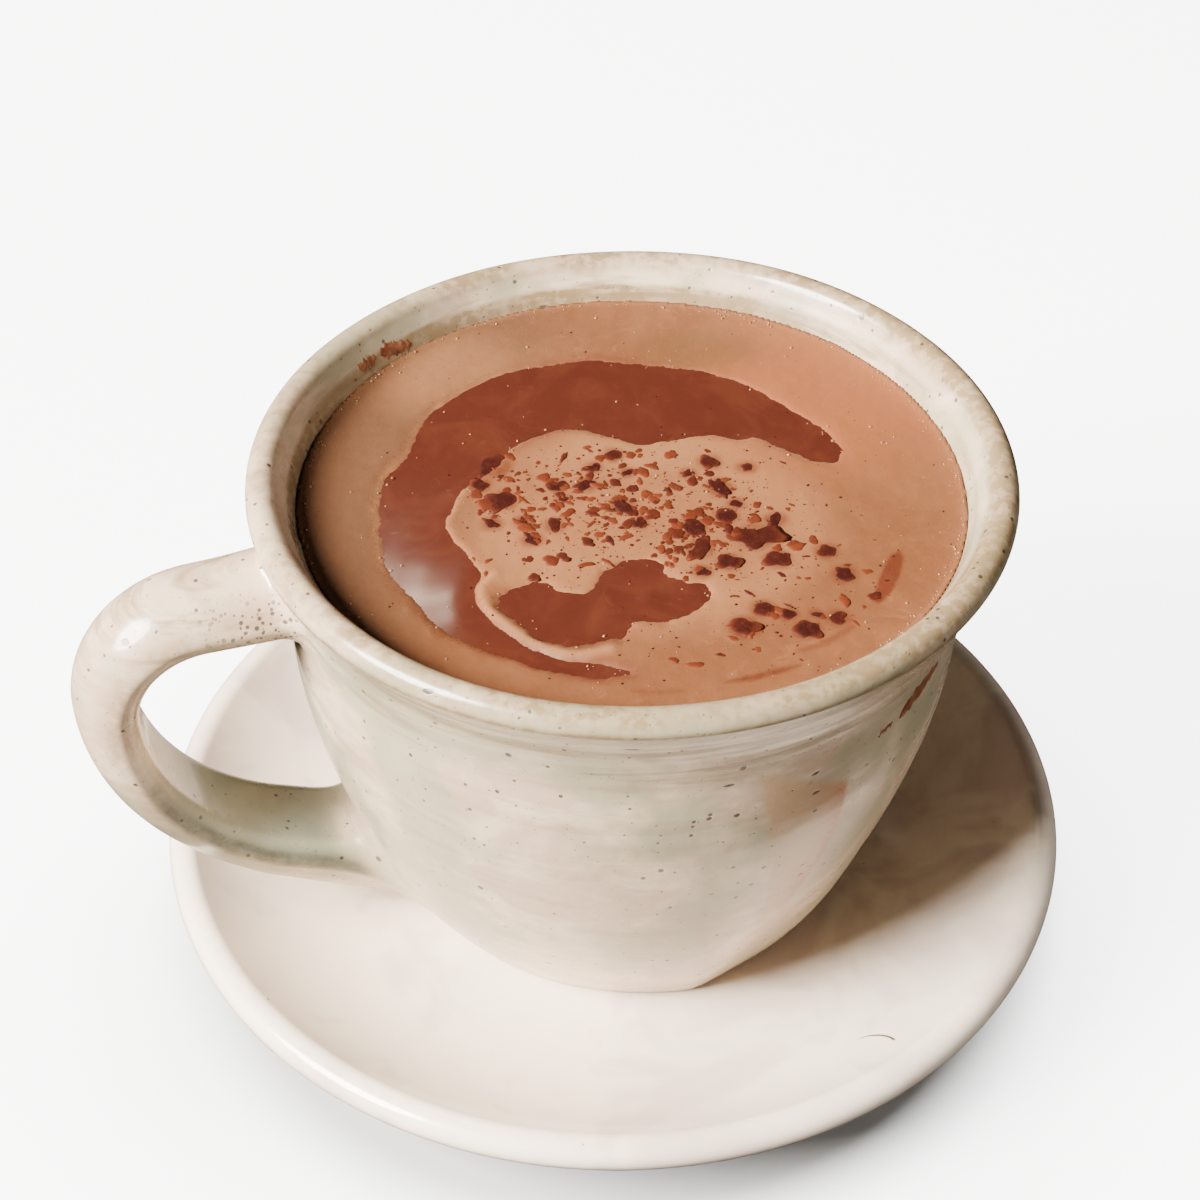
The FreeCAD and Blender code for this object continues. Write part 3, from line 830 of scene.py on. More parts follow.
# Soft facets at the foot: each corner's azimuth, its drift for each millimetre of height, how far
# it stands out, and how far it spreads before and after it, in degrees.
FACETS = [
    (-72.0, -0.18, 1.35, 30.0, 15.0),
    (-24.0, 0.10, 0.15, 26.0, 20.0),
    (35.0, 0.0, 0.5, 24.0, 24.0),
    (96.0, 0.0, 0.6, 26.0, 22.0),
    (-140.0, 0.0, 0.45, 18.0, 22.0),
]
# How far the bowl is drawn in on its right, and the azimuth of the middle of that, in degrees.
DRAWN_IN = 1.7
DRAWN_AT = -18.0


def handmade(points):
    """The thrown cup's unevenness: an oval bowl, drawn in on one side, a wavy rim, a faceted foot."""
    moved = points.copy()
    radius = off_axis(points)
    turn = np.arctan2(points[:, 1], points[:, 0])
    height = points[:, 2] - SEAT
    full = smooth_step(6.0, 26.0, radius)
    shift = 0.20 * np.cos(2 * (turn - 0.7)) + 0.10 * np.cos(3 * turn + 1.1)
    shift += 0.10 * np.sin(height / 5.2 + 1.5 * np.sin(turn)) * smooth_step(2.0, 10.0, height)
    low = smooth_step(46.0, 0.0, height) * smooth_step(20.0, 26.0, radius)
    for corner, drift, tall, before, after in FACETS:
        gap = (np.degrees(turn) - corner - drift * height + 180) % 360 - 180
        span = np.where(gap < 0, before, after)
        share = np.clip(1 - np.sqrt(gap ** 2 + 4.0) / span, 0.0, 1.0)
        shift += tall * low * share ** 1.5
    aside = np.abs(np.degrees(turn) - DRAWN_AT)
    drawn = smooth_step(0.0, 20.0, height) * smooth_step(66.0, 48.0, height)
    shift -= DRAWN_IN * drawn * smooth_step(56.0, 12.0, aside)
    shift *= full
    scale = 1 + shift / np.maximum(radius, 1.0)
    strap_only = smooth_step(53.0, 58.0, radius)
    scale = scale * (1 - strap_only) + strap_only
    moved[:, 0] *= scale
    moved[:, 1] *= scale
    rim = smooth_step(RIM_TOP - 9.0, RIM_TOP - 1.0, points[:, 2])
    wave = 0.14 * np.sin(2 * turn + 0.6) + 0.10 * np.sin(3 * turn - 1.0) + 0.05 * np.sin(7 * turn)
    moved[:, 2] += wave * rim - 0.12 * rim
    return moved


# How far the strap's rounded outside swells, at its upper joint and along its lower run.
TOP_SWELL = 1.8
LOW_SWELL = 2.6


def strap_mesh(shape):
    """The handle's strap with its two ends closed, and its outward normals."""
    route = shape.handle_route()
    section = shape.strap_section()
    out = outward(route)
    count = len(section)
    near_top = np.exp(-((route[:, 0] - route[0, 0]) / 9.0) ** 2) * (route[:, 1] > RIM_TOP - 25.0)
    share = np.linspace(0.0, 1.0, len(route))
    low_run = smooth_step(0.58, 0.84, share) * smooth_step(1.0, 0.94, share)
    swell = TOP_SWELL * near_top + LOW_SWELL * low_run
    crown = np.maximum(section[:, 1], 0.0) / (shape.s.strap_thickness / 2)
    rise = section[None, :, 1] + swell[:, None] * crown[None]
    reach = route[:, None, 0] + out[:, None, 0] * rise
    height = route[:, None, 1] + out[:, None, 1] * rise
    across = np.broadcast_to(section[None, :, 0], reach.shape)
    points = shape.from_strap(reach.ravel(), across.ravel(), height.ravel())
    edge = np.roll(section, -1, 0) - np.roll(section, 1, 0)
    edge /= np.linalg.norm(edge, axis=1)[:, None]
    aside, up = edge[:, 1], -edge[:, 0]
    turned = shape.from_strap(
        (out[:, None, 0] * up[None]).ravel(),
        np.broadcast_to(aside[None], reach.shape).ravel(),
        (out[:, None, 1] * up[None]).ravel(),
    )
    row = np.arange(count)
    after = (row + 1) % count
    faces = bands(len(route), count)
    ends = shape.from_strap(route[[0, -1], 0], np.zeros(2), route[[0, -1], 1])
    first = len(points)
    base = (len(route) - 1) * count
    faces += [(int(a), int(b), first) for a, b in zip(after, row)]
    faces += [(int(base + a), int(base + b), first + 1) for a, b in zip(row, after)]
    return np.concatenate([points, ends]), faces, np.concatenate([turned, np.zeros((2, 3))])


def outline_normals(outline, count):
    """Outward normals for the rings of a turned outline, and none for its two end points."""
    return np.concatenate([turned(-outward(outline)[1:-1], count), np.zeros((2, 3))])


# About the radius of the wall where the glaze has run, which turns an azimuth there into a width.
MARK_RADIUS = 45.0


def cup_marks(shape, points):
    """Where the cup's glaze is thin, greenish, mossy, run down or thick with specks, and where shade is
    painted: under the lip, on the rim's right, on the inner wall, in the handle's crease and beside a foot
    ridge.
    """
    radius = off_axis(points)
    turn = azimuth(points)
    height = points[:, 2] - SEAT
    reach, across, _ = shape.to_strap(points)
    strap = shape.strap_distance(points)
    on_strap = smooth_step(2.5, 0.5, strap) * smooth_step(20.0, 26.0, reach)
    wall = shape.wall_distance(points)
    past_wall = on_strap * smooth_step(1.0, 5.0, wall)
    rim = smooth_step(2.4, 0.2, RIM_TOP - points[:, 2])
    # The rim's darkening is made stronger on the right, away from the key light, and weaker on the left that
    # faces it: that side-to-side change is painted shade.
    rim *= 0.75 + 0.25 * smooth_step(80.0, 20.0, np.abs(turn)) - 0.3 * smooth_step(110.0, 170.0, np.abs(turn))
    # A dark band low on the lip's roll, in the thin glaze's colour: painted shade under the overhanging lip.
    under_lip_shade = np.exp(-((RIM_TOP - points[:, 2] - 2.8) / 0.8) ** 2) * (radius > RIM_RADIUS - 1.5) * 0.95
    foot = smooth_step(2.6, 0.3, height) * smooth_step(25.0, 27.5, radius) * 0.75
    edges = past_wall * smooth_step(5.6, 7.4, np.abs(across)) * 0.40
    # A brown wash under the inner lip, deepened towards the left and back of the inner wall: the deepening is
    # painted shade, on the side turned away from the key light.
    inner_wash_and_shade = (wall < -2.5) * smooth_step(RIM_TOP - 9.0, RIM_TOP - 5.0, points[:, 2])
    inner_wash_and_shade = inner_wash_and_shade * (0.30 + 0.85 * smooth_step(30.0, 100.0, np.abs(turn)))
    # These thin marks hold thin glaze at the foot and the strap's edges, together with the painted shade on
    # the rim, under the lip and on the inner wall.
    thin = np.clip(rim + under_lip_shade + foot + edges + inner_wash_and_shade, 0.0, 1.0)
    _, along, offset = shape.beside_strap(points, 2.0)
    # A dark line along the handle's lower run, between its inner face and its lower side: painted shade in
    # that crease.
    crease_shade = 1.4 * np.exp(-((offset + 2.0) / 1.1) ** 2) * smooth_step(5.0, 6.3, np.abs(across)) * past_wall
    crease_shade *= smooth_step(0.40, 0.56, along)
    mossy = past_wall * smooth_step(0.38, 0.55, along) * smooth_step(-1.2, -2.8, offset)
    mossy *= smooth_step(2.0, 8.0, wall)
    low_part = smooth_step(0.50, 0.72, along) * past_wall * 0.35
    low_wall_and_ridge_shade = smooth_step(30.0, 4.0, height) * smooth_step(-60.0, -110.0, turn) * 0.25
    # A darker grey-green streak beside the front facet's ridge, running up from the foot: painted shade that
    # shows the facet.
    ridge_shade = np.exp(-((turn + 85.5 - 0.23 * height) / 3.0) ** 2) * smooth_step(6.0, 20.0, height)
    low_wall_and_ridge_shade = np.maximum(low_wall_and_ridge_shade, 0.9 * ridge_shade * smooth_step(50.0, 36.0, height))
    green_and_ridge_shade = np.clip(low_part + low_wall_and_ridge_shade * (radius > 24), 0.0, 1.0)
    left = np.interp(height, [30.0, 56.0], [-65.5, -70.5])
    right = np.interp(height, [26.0, 34.0, 40.0, 52.0], [-59.0, -55.0, -53.0, -54.0])
    top = np.interp(turn, [-70.0, -54.0], [57.0, 49.5])
    inner = np.minimum(turn - left, right - turn) * np.radians(1.0) * MARK_RADIUS
    panel = smooth_step(-0.3, 0.5, inner) * smooth_step(0.8, -1.2, height - top)
    panel *= smooth_step(20.0, 30.0, height) * (radius > 30)
    drip = panel * np.exp(-np.maximum(right - turn, 0.0) * np.radians(1.0) * MARK_RADIUS / 3.0)
    under_joint = on_strap * smooth_step(0.30, 0.08, along) * smooth_step(17.0, 4.0, wall)
    under_joint = under_joint * smooth_step(4.2, 1.0, offset)
    speckled = np.clip(under_joint * 1.2 + on_strap * smooth_step(0.86, 0.97, along) * 0.5, 0.0, 1.0)
    outer = wall > -2.0
    return {"thin": thin, "green_and_ridge_shade": green_and_ridge_shade * outer, "drip": drip * outer, "speckled": speckled,
            "crease_shade": np.clip(crease_shade, 0.0, 1.0), "panel": panel * outer, "mossy": mossy}


def make_cup(settings):
    shape = CupShape(settings)
    outline = shape.outline()
    bowl, bowl_faces = lathe(outline, TURN_STEPS)
    bowl = shape.blended(bowl, outline_normals(outline, TURN_STEPS))
    strap, strap_faces, strap_normals = strap_mesh(shape)
    strap = shape.blended(strap, strap_normals)
    points, faces = joined([(bowl, bowl_faces), (strap, strap_faces)])
    marks = cup_marks(shape, points)
    material = speckled_glaze(settings)
    return make_piece("stoneware_cup", handmade(points), faces, material,
                      ["cup"], marks)


# ---------------------------------------------------------------------------------------------
# Saucer


def saucer_outline(s, foot_radius):
    """The saucer's section, from the middle of its underside, round its lip, to that of its well."""
    lip_bend = s.thickness / 2
    lip = (SAUCER_RADIUS - lip_bend, SAUCER_TOP - lip_bend)
    well = foot_radius + s.well_margin
    run, rise = lip[0] - well, lip[1] - SEAT
    dish = (run * run + rise * rise - lip_bend * lip_bend) / (2 * (rise + lip_bend))
    centre = (well, SEAT + dish)
    lip_turn = direction(centre, lip)
    under = dish + s.thickness
    recess = SEAT - s.thickness
    ring_out, ring_in = s.ring_radius, s.ring_radius - s.ring_width
    root = centre[1] - math.sqrt(under ** 2 - (ring_out + s.ring_slope - centre[0]) ** 2)
    edge = s.ring_edge
    root_turn = direction(centre, (ring_out + s.ring_slope, root))
    return chain(
        line((0.0, recess), (ring_in - s.ring_slope, recess), 1.5),
        line((ring_in - s.ring_slope, recess), (ring_in - 0.2, edge), 0.5),
        arc((ring_in + edge, edge), edge, math.pi, 1.5 * math.pi, 0.25),
        line((ring_in + edge, 0.0), (ring_out - edge, 0.0), 0.8),
        arc((ring_out - edge, edge), edge, -math.pi / 2, 0.0, 0.25),
        line((ring_out + 0.2, edge), (ring_out + s.ring_slope, root), 0.5),
        arc(centre, under, root_turn, lip_turn, 0.8),
        arc(lip, lip_bend, lip_turn, lip_turn + math.pi, 0.25),
        arc(centre, dish, lip_turn, -math.pi / 2, 0.8),
        line((well, SEAT), (0.0, SEAT), 1.5),
    )


def make_saucer(settings, foot_radius):
    outline = saucer_outline(settings, foot_radius)
    points, faces = lathe(outline, TURN_STEPS, SAUCER_X)
    turn = np.arctan2(points[:, 1], points[:, 0] - SAUCER_X)
    radius = off_axis(points, SAUCER_X)
    lip = smooth_step(36.0, SAUCER_RADIUS, radius)
    thin = smooth_step(1.0, 0.1, SAUCER_TOP - points[:, 2]) * 0.22
    thin += smooth_step(1.4, 0.1, points[:, 2]) * 0.8
    points[:, 2] += lip * (0.20 * np.sin(2 * turn + 2.0) + 0.12 * np.sin(3 * turn) - 0.2)
    wave = 1 + lip * 0.0022 * np.cos(2 * turn - 0.5)
    points[:, 0] = SAUCER_X + (points[:, 0] - SAUCER_X) * wave
    points[:, 1] *= wave
    material = cream_glaze(settings)
    return make_piece("saucer_plate", points, faces, material, ["saucer"],
                      {"thin": thin})


# ---------------------------------------------------------------------------------------------
# Drink and foam

# Outlines on the drink's surface, in millimetres across and along from the cup's axis.
CRESCENT = [
    (28.2, 9.5), (28, 11), (25, 15.5), (20.5, 20), (17, 23.5), (12, 26.5), (8, 28), (0, 29.2),
    (-6, 30), (-12, 28.5), (-17, 27), (-22, 23.5), (-27, 18), (-29, 13), (-30, 8), (-32.5, 3),
    (-33, -2), (-32.5, -8), (-31, -15), (-28, -20), (-24, -26), (-20, -29.5), (-15, -32),
    (-10, -34.5), (-5, -35.3), (-1, -35), (-0.5, -34.5), (-4, -33), (-8, -32.3), (-12, -30.5),
    (-16, -27), (-19, -22.5), (-19.5, -19), (-19, -16), (-22, -11), (-23.5, -8), (-24, -5),
    (-23, -2), (-22, 1), (-19.5, 4), (-17.5, 7), (-16, 10), (-14, 11.8), (-11, 13.5), (-8, 14.3),
    (-5, 13.5), (-2, 12), (1, 10.8), (4, 11), (7.5, 12), (10.5, 12.6), (14, 12), (17, 12),
    (20, 10), (22, 8.5), (25, 7), (27.5, 6.8),
]
POOL = [
    (-17, -22), (-15.5, -19.5), (-13, -18), (-11, -18), (-8, -19.5), (-5, -18.5), (-3, -15),
    (0, -13.5), (3, -14), (5, -17), (9, -18.5), (9.5, -21), (7, -24), (4, -25.5), (0, -25.5),
    (-2, -28), (-5, -29.5), (-9, -29.8), (-12, -28.5), (-14, -26), (-16.5, -23.5),
]
CURL = [(-17.5, -16.5), (-19, -19), (-18, -23), (-14.5, -27), (-11, -30), (-7, -31.5), (-3, -30.5)]
STREAKS = [
    ([(34, -12), (33, -15), (31.8, -18.5), (30.5, -21.5)], 1.1, 1.0),
    ([(27.5, -26), (24, -29), (20, -31)], 0.6, 0.45),
    ([(11, -36.5), (15, -35.4), (20, -33.5)], 0.5, 0.8),
    ([(-1, -38), (3, -38.3), (6, -38)], 0.4, 0.4),
]
# Ground that the flakes have coloured: place, reach and strength.
STAINED = [(1.0, -3.0, 17.0, 0.18), (12.0, -9.0, 12.0, 0.26), (-14, 1, 9.0, 0.22), (19.0, -25.0, 8.0, 0.18)]
# Where small flakes and crumbs are scattered: place and spread.
FLAKE_HEAPS = [(1, -2, 7.0), (-4, -1, 9.0), (9, -7, 5.0), (12, -9, 7.5),
               (-13, 0, 6.5), (-8, -5, 5.0), (18, -24, 7.0), (4, -10, 17.0)]
CRUMB_HEAPS = [(2, -4, 12.0), (2, -4, 12.0), (10, -14, 13.0), (0, 0, 30.0)]
# Dried drink on the wall: outside or not, its ends as (azimuth, height above the base), and width.
SMEARS = [
    (True, (-42.0, 54.6), (-31.5, 57.6), 4.4),
    (True, (-47.5, 54.0), (-44.0, 54.6), 0.9),
    (False, (134.0, 67.6), (141.5, 68.6), 2.2),
    (False, (142.5, 68.8), (147.5, 68.4), 1.6),
]
# How far melting has lengthened and widened the large flakes.
MELTED_LENGTH = 1.08
MELTED_WIDTH = 1.28
# Flakes: place, length and width before they melted, and turn in degrees.
FLAKES = [
    (-18.5, 5.5, 6, 3.5, 70), (-20, 1.5, 2.6, 2.2, 0), (-17, -1.8, 4.5, 3, 75),
    (-18, -6.5, 2.8, 1.2, -50), (-14, -6, 2.2, 1, 100), (-9.8, 1.3, 3, 2, 25),
    (-9, -1.3, 1.6, 1.2, 40), (-10, -6.8, 3, 1.5, 90), (-12.8, -9.6, 3, 1.4, -50),
    (-2.4, 8, 2.4, 2.2, 0), (-5, 5.3, 2, 1.6, 0), (-6, 1.5, 4, 1.5, 30), (-1.2, -2.8, 4.5, 1.6, -75),
    (-0.5, 4.3, 2, 1, 45), (1, -6.3, 2.5, 1.5, 80), (10.3, 6.4, 2.6, 2.4, 0), (7.5, 4, 1.6, 1.4, 0),
    (11.5, 1, 4.5, 1.6, -60), (15.3, 5.3, 1.6, 1.6, 0), (13.6, -2.2, 1.8, 1.4, 0),
    (12.2, -4.8, 3, 2.8, 0), (16, -9, 6.8, 3.8, 8), (18.5, -5.5, 3.5, 1.2, 80),
    (18.5, -13.5, 4, 2.4, 35), (8, -7, 4.5, 2.4, -60), (8.7, -11.5, 5, 2, 75),
    (12.3, -14, 3.5, 2.5, 0), (8.8, -16, 2.2, 1.6, 0), (24.8, -11.8, 2.6, 2.2, 30),
    (26.8, -16.3, 3, 2, -60), (13.7, -26.5, 3.4, 3.2, 0), (16.3, -23.2, 2.8, 2.4, 0),
    (21.5, -27, 3.4, 3, 0), (19.3, -24.2, 2.2, 1.6, 0), (22.8, -24.2, 1.4, 1, 0),
    (25.4, -24.8, 2.8, 1.8, 45),
]


def ripple(place):
    """Height of the liquid above its level: broad swells, with gentle waves round one spot."""
    swell = 0.10 * np.sin(place[:, 0] / 9.0 + 0.8) * np.cos(place[:, 1] / 11.0)
    gap = off_axis(place, 2.0, -21.0)
    waves = 0.09 * np.cos(gap / 0.95) * np.exp(-gap / 9.0)
    return swell + waves


def meniscus(radius, wall_radius, climb):
    return climb * np.exp(-np.maximum(wall_radius - radius, 0.0) / 1.0)


def foam_depth(place):
    """Distance inside the foam from its border with the liquid, positive in the foam."""
    wiggle = 0.50 * rough(place, 2.6, 1.0) + 0.34 * rough(place, 1.1, 2.0)
    crescent = -depth_in(place, smooth_loop(CRESCENT))
    pool = -depth_in(place, smooth_loop(POOL))
    return np.minimum(crescent + wiggle * 0.8, pool + wiggle * 1.5)


def foam_marks(place, depth, wall_radius):
    """Where the foam is thick, thin, pale, warm, hazy, wet, stained or dusted, with painted shade on its left
    and a painted glint along its left border.
    """
    radius = off_axis(place)
    stain = np.zeros(len(place))
    for x, y, length, width, turn in FLAKES:
        reach = (length + width) / 4
        gap = off_axis(place, x, y)
        stain = np.maximum(stain, 0.70 * smooth_step(reach + 1.3, reach * 0.7, gap))
    for x, y, reach, amount in STAINED:
        gap = off_axis(place, x, y)
        stain = np.maximum(stain, amount * smooth_step(reach, reach * 0.2, gap))
    curl, _ = nearest(place, trail(CURL))
    # This mask brightens the foam's border on its left: a painted glint of light mirrored there.
    left = smooth_step(-12.0, -20.0, place[:, 0]) * smooth_step(-24.0, -14.0, place[:, 1])
    top_of_island = np.hypot((place[:, 0] - 2.0) / 1.8, place[:, 1] - 9.0)
    pale_and_glint = np.maximum.reduce([
        0.9 * np.exp(-(curl / 0.9) ** 2),
        (0.08 + 0.6 * left) * np.exp(-(np.maximum(depth, 0.0) / 0.8) ** 2),
        0.25 * smooth_step(wall_radius - 1.0, wall_radius - 0.1, radius),
        0.5 * smooth_step(7.5, 2.0, top_of_island),
        0.45 * smooth_step(15.0, 4.0, off_axis(place, -26.0, 27.0)),
    ])
    for points, half_width, amount in STREAKS:
        curve = trail(points)
        gaps, which = nearest(place, curve)
        share = which / (len(curve) - 1)
        width = half_width * (0.35 + 0.65 * np.sqrt(np.maximum(4 * share * (1 - share), 0.0)))
        stain = np.maximum(stain, amount * smooth_step(width + 0.35, width - 0.35, gaps))
    warm = smooth_step(26.0, 6.0, off_axis(place, 27.0, 22.0))
    haze = smooth_step(9.0, 2.0, np.hypot((place[:, 0] - 9.0) / 1.5, (place[:, 1] - 32.5) / 0.75))
    dusty = smooth_step(27.0, 8.0, off_axis(place, 3.0, -8.0))
    edge = smooth_step(wall_radius - 3.5, wall_radius - 0.5, radius)
    edge = np.maximum(edge, np.exp(-np.maximum(depth, 0.0) / 0.9))
    island = smooth_step(27.0, 19.0, np.hypot(place[:, 0] - 2.0, (place[:, 1] + 6.0) * 1.1))
    wet = smooth_step(-12.0, -20.0, place[:, 0]) * smooth_step(3.0, 0.5, depth)
    # The last mark is painted shade over the foam's left side.
    return {"body": depth, "stain": np.clip(stain, 0.0, 1.0), "pale_and_glint": pale_and_glint, "haze": haze,
            "dusty": dusty, "edge": edge, "island": island, "wet": wet, "warm": warm,
            "left_shade": smooth_step(-12.0, -32.0, place[:, 0] - 0.25 * place[:, 1]) * (1 - 0.8 * pale_and_glint)}


def foam_lift(depth, height):
    """Height of the foam above the liquid: a soft, rounded border that dips just under it."""
    return height * (1 - np.exp(-np.maximum(depth, 0.0) / 0.7)) - 0.45 * np.maximum(-depth, 0.0)


def foam_top(place, depth, settings):
    radius = off_axis(place)
    lumps = 0.10 * rough(place, 6.0, 5.0) + 0.05 * rough(place, 1.7, 6.0)
    curl, _ = nearest(place, trail(CURL))
    return (LEVEL + ripple(place) * 0.8 + foam_lift(depth, settings.foam_height)
            + lumps * smooth_step(0.0, 2.0, depth) + 0.25 * np.exp(-(curl / 0.8) ** 2)
            + meniscus(radius, DRINK_RADIUS, settings.meniscus))


def make_drink(settings, cup_settings):
    """The drink's body: its surface, and its sides a hair inside the cup's wall."""
    shape = CupShape(cup_settings)
    wall = shape.inner_wall(1.2, into_wall=0.12)
    climb = LEVEL + settings.meniscus
    crossing = float(np.interp(-climb, -wall[:, 1], wall[:, 0]))
    side = wall[wall[:, 1] < climb - 0.05]
    across = crossing - np.linspace(0, 1, 110) ** 1.6 * crossing
    top = np.stack([across, np.full_like(across, LEVEL)], 1)
    top[:, 1] += meniscus(across, DRINK_RADIUS, settings.meniscus)
    top[0, 1] = climb
    outline = np.concatenate([top[::-1], side])[::-1]
    points, faces = lathe(outline, DRINK_TURN_STEPS)
    flat = points[:, :2]
    on_top = points[:, 2] > LEVEL - 0.01
    points[:, 2] += np.where(on_top, ripple(flat), 0.0)
    points = handmade(points)
    return make_piece("chocolate_drink", points, faces, liquid_chocolate(settings),
                      ["hot_chocolate"])


# Thickness of the foam's sheet, most of it under the liquid, and the spacing of its points.
FOAM_THICKNESS = 0.9
FOAM_STEP = 0.42


def make_foam(settings):
    reach = DRINK_RADIUS + 0.5
    count = int(2 * reach / FOAM_STEP) + 1
    axis = (np.arange(count) - (count - 1) / 2) * FOAM_STEP
    x, y = np.meshgrid(axis, axis, indexing="ij")
    place = np.stack([x.ravel(), y.ravel()], 1)
    depth = foam_depth(place)
    radius = off_axis(place)
    shown = ((depth > -1.0) & (radius < reach)).reshape(count, count)
    whole = shown[:-1, :-1] & shown[1:, :-1] & shown[1:, 1:] & shown[:-1, 1:]
    rows, columns = np.nonzero(whole)
    corner = rows * count + columns
    faces = np.stack([corner, corner + count, corner + count + 1, corner + 1], 1).tolist()
    faces = [tuple(face) for face in faces]
    top = foam_top(place, depth, settings)
    marks = foam_marks(place, depth, DRINK_RADIUS)
    points = np.concatenate([place, top[:, None]], 1)
    points, faces, marks = tidy_points(points, faces, marks)
    points, faces = thickened(points, faces, FOAM_THICKNESS)
    marks = {title: np.concatenate([numbers, numbers]) for title, numbers in marks.items()}
    return make_piece("milk_foam", handmade(points), faces, milk_foam(settings),
                      values=marks)


# ---------------------------------------------------------------------------------------------
# Flakes, crumbs, bubbles and smears


def surface_height(place, settings):
    """Height of the foam, or of the liquid where it lies bare."""
    place = np.atleast_2d(place)
    depth = foam_depth(place)
    radius = off_axis(place)
    liquid = LEVEL + ripple(place) + meniscus(radius, DRINK_RADIUS, settings.meniscus)
    return np.maximum(foam_top(place, depth, settings), liquid)


def blob(chance, centre, length, width, turn, tall, sunk, rings=4, sides=18):
    """A softened piece: a domed, uneven outline that dips into what it lies on."""
    angles = np.arange(sides) * (2 * math.pi / sides)
    wave = np.ones(sides)
    for times in (2, 3, 4, 5):
        amount = chance.uniform(0.05, 0.36 / times ** 0.6)
        wave += amount * np.cos(times * angles + chance.uniform(0, 2 * math.pi))
    levels = [(share, math.sqrt(max(1 - share ** 2.6, 0.0))) for share in np.linspace(0, 1, rings + 1)[1:]]
    levels += [(0.93, -0.35), (0.55, -0.9)]
    points = [(0.0, 0.0, tall)]
    for share, rise in levels:
        high = tall * rise if rise >= 0 else sunk * rise
        for angle, stretch in zip(angles, wave):
            out = share * (1 + (stretch - 1) * share)
            points.append((out * math.cos(angle) * length / 2, out * math.sin(angle) * width / 2,
                           high * (1 + 0.25 * (chance.random() - 0.5) * (share < 0.95))))
    points.append((0.0, 0.0, -sunk))
    points = np.array(points)
    c, s = math.cos(turn), math.sin(turn)
    x = points[:, 0] * c - points[:, 1] * s + centre[0]
    y = points[:, 0] * s + points[:, 1] * c + centre[1]
    points = np.stack([x, y, points[:, 2] + centre[2]], 1)
    faces = [(0, 1 + k, 1 + (k + 1) % sides) for k in range(sides)]
    faces += bands(len(levels), sides, 1)
    base, last = 1 + (len(levels) - 1) * sides, len(points) - 1
    faces += [(base + k, last, base + (k + 1) % sides) for k in range(sides)]
    return points, faces


def scattered(chance, heaps, squash):
    """A random place in one of the heaps, each less deep than wide."""
    x, y, wide = chance.choice(heaps)
    return x + chance.gauss(0, wide), y + chance.gauss(0, wide * squash)


def make_bits(name, parts, material, values=None):
    """Joins many small parts into one piece, which follows the cup's unevenness."""
    points, faces = joined(parts)
    return make_piece(name, handmade(points), faces, material, values=values)


def make_flakes(settings, drink):
    """Melted chocolate flakes: the large ones in set places, and small ones scattered among them."""
    chance = random.Random(settings.seed)
    specs = []
    for x, y, length, width, turn in FLAKES:
        melted = MELTED_WIDTH * width
        tall = 0.07 + 0.03 * min(melted, 3.5)
        specs.append((x, y, MELTED_LENGTH * length, melted, math.radians(turn), tall))
    while len(specs) < len(FLAKES) + settings.small_count:
        x, y = scattered(chance, FLAKE_HEAPS, 0.75)
        if math.hypot(x, y) > DRINK_RADIUS - 3:
            continue
        length = 0.50 + 2.2 * chance.random() ** 2.2
        specs.append((x, y, length, length * chance.uniform(0.35, 0.95), chance.uniform(0, math.pi),
                      0.03 + 0.05 * length))
    places = np.array([spec[:2] for spec in specs])
    depths = foam_depth(places)
    heights = surface_height(places, drink)
    parts, tones = [], []
    for number, (x, y, length, width, turn, tall) in enumerate(specs):
        large = number < len(FLAKES)
        if not large and depths[number] < 0.4:
            continue
        rings, sides = (5, 30) if large else (3, 12)
        centre = (x, y, heights[number] - 0.05)
        parts.append(blob(chance, centre, length, width, turn, tall, 0.3, rings, sides))
        light = 0.12 * chance.random() if large else 0.15 + 0.85 * chance.random()
        share = np.hypot(parts[-1][0][:, 0] - x, parts[-1][0][:, 1] - y) / (length / 2)
        tones.append(np.clip(light + 0.45 * smooth_step(0.55, 1.0, share), 0.0, 1.0))
    return make_bits("chocolate_flakes", parts, dark_flakes(settings),
                     {"tone": np.concatenate(tones)})


def make_crumbs(settings, drink):
    """Fine cocoa crumbs on the foam and a few on the liquid."""
    chance = random.Random(settings.seed + 1)
    places = []
    while len(places) < settings.crumb_count:
        x, y = scattered(chance, CRUMB_HEAPS, 0.85)
        if math.hypot(x, y) < DRINK_RADIUS - 1.5:
            places.append((x, y))
    places = np.array(places)
    heights = surface_height(places, drink)
    depths = foam_depth(places)
    parts = []
    for place, height, depth in zip(places, heights, depths):
        if depth < 0.2 and chance.random() < 0.7:
            continue
        length = 0.14 + 0.30 * chance.random() ** 2.2
        centre = (place[0], place[1], height)
        parts.append(blob(chance, centre, length, length * chance.uniform(0.6, 1.0),
                          chance.uniform(0, math.pi), length * 0.35, 0.08, 2, 7))
    return make_bits("cocoa_crumbs", parts, dark_flakes(settings))


# Numbers of bubbles along the wall, along the foam's border and anywhere on the drink.
WALL_BUBBLES = 300
BORDER_BUBBLES = 60
LOOSE_BUBBLES = 150


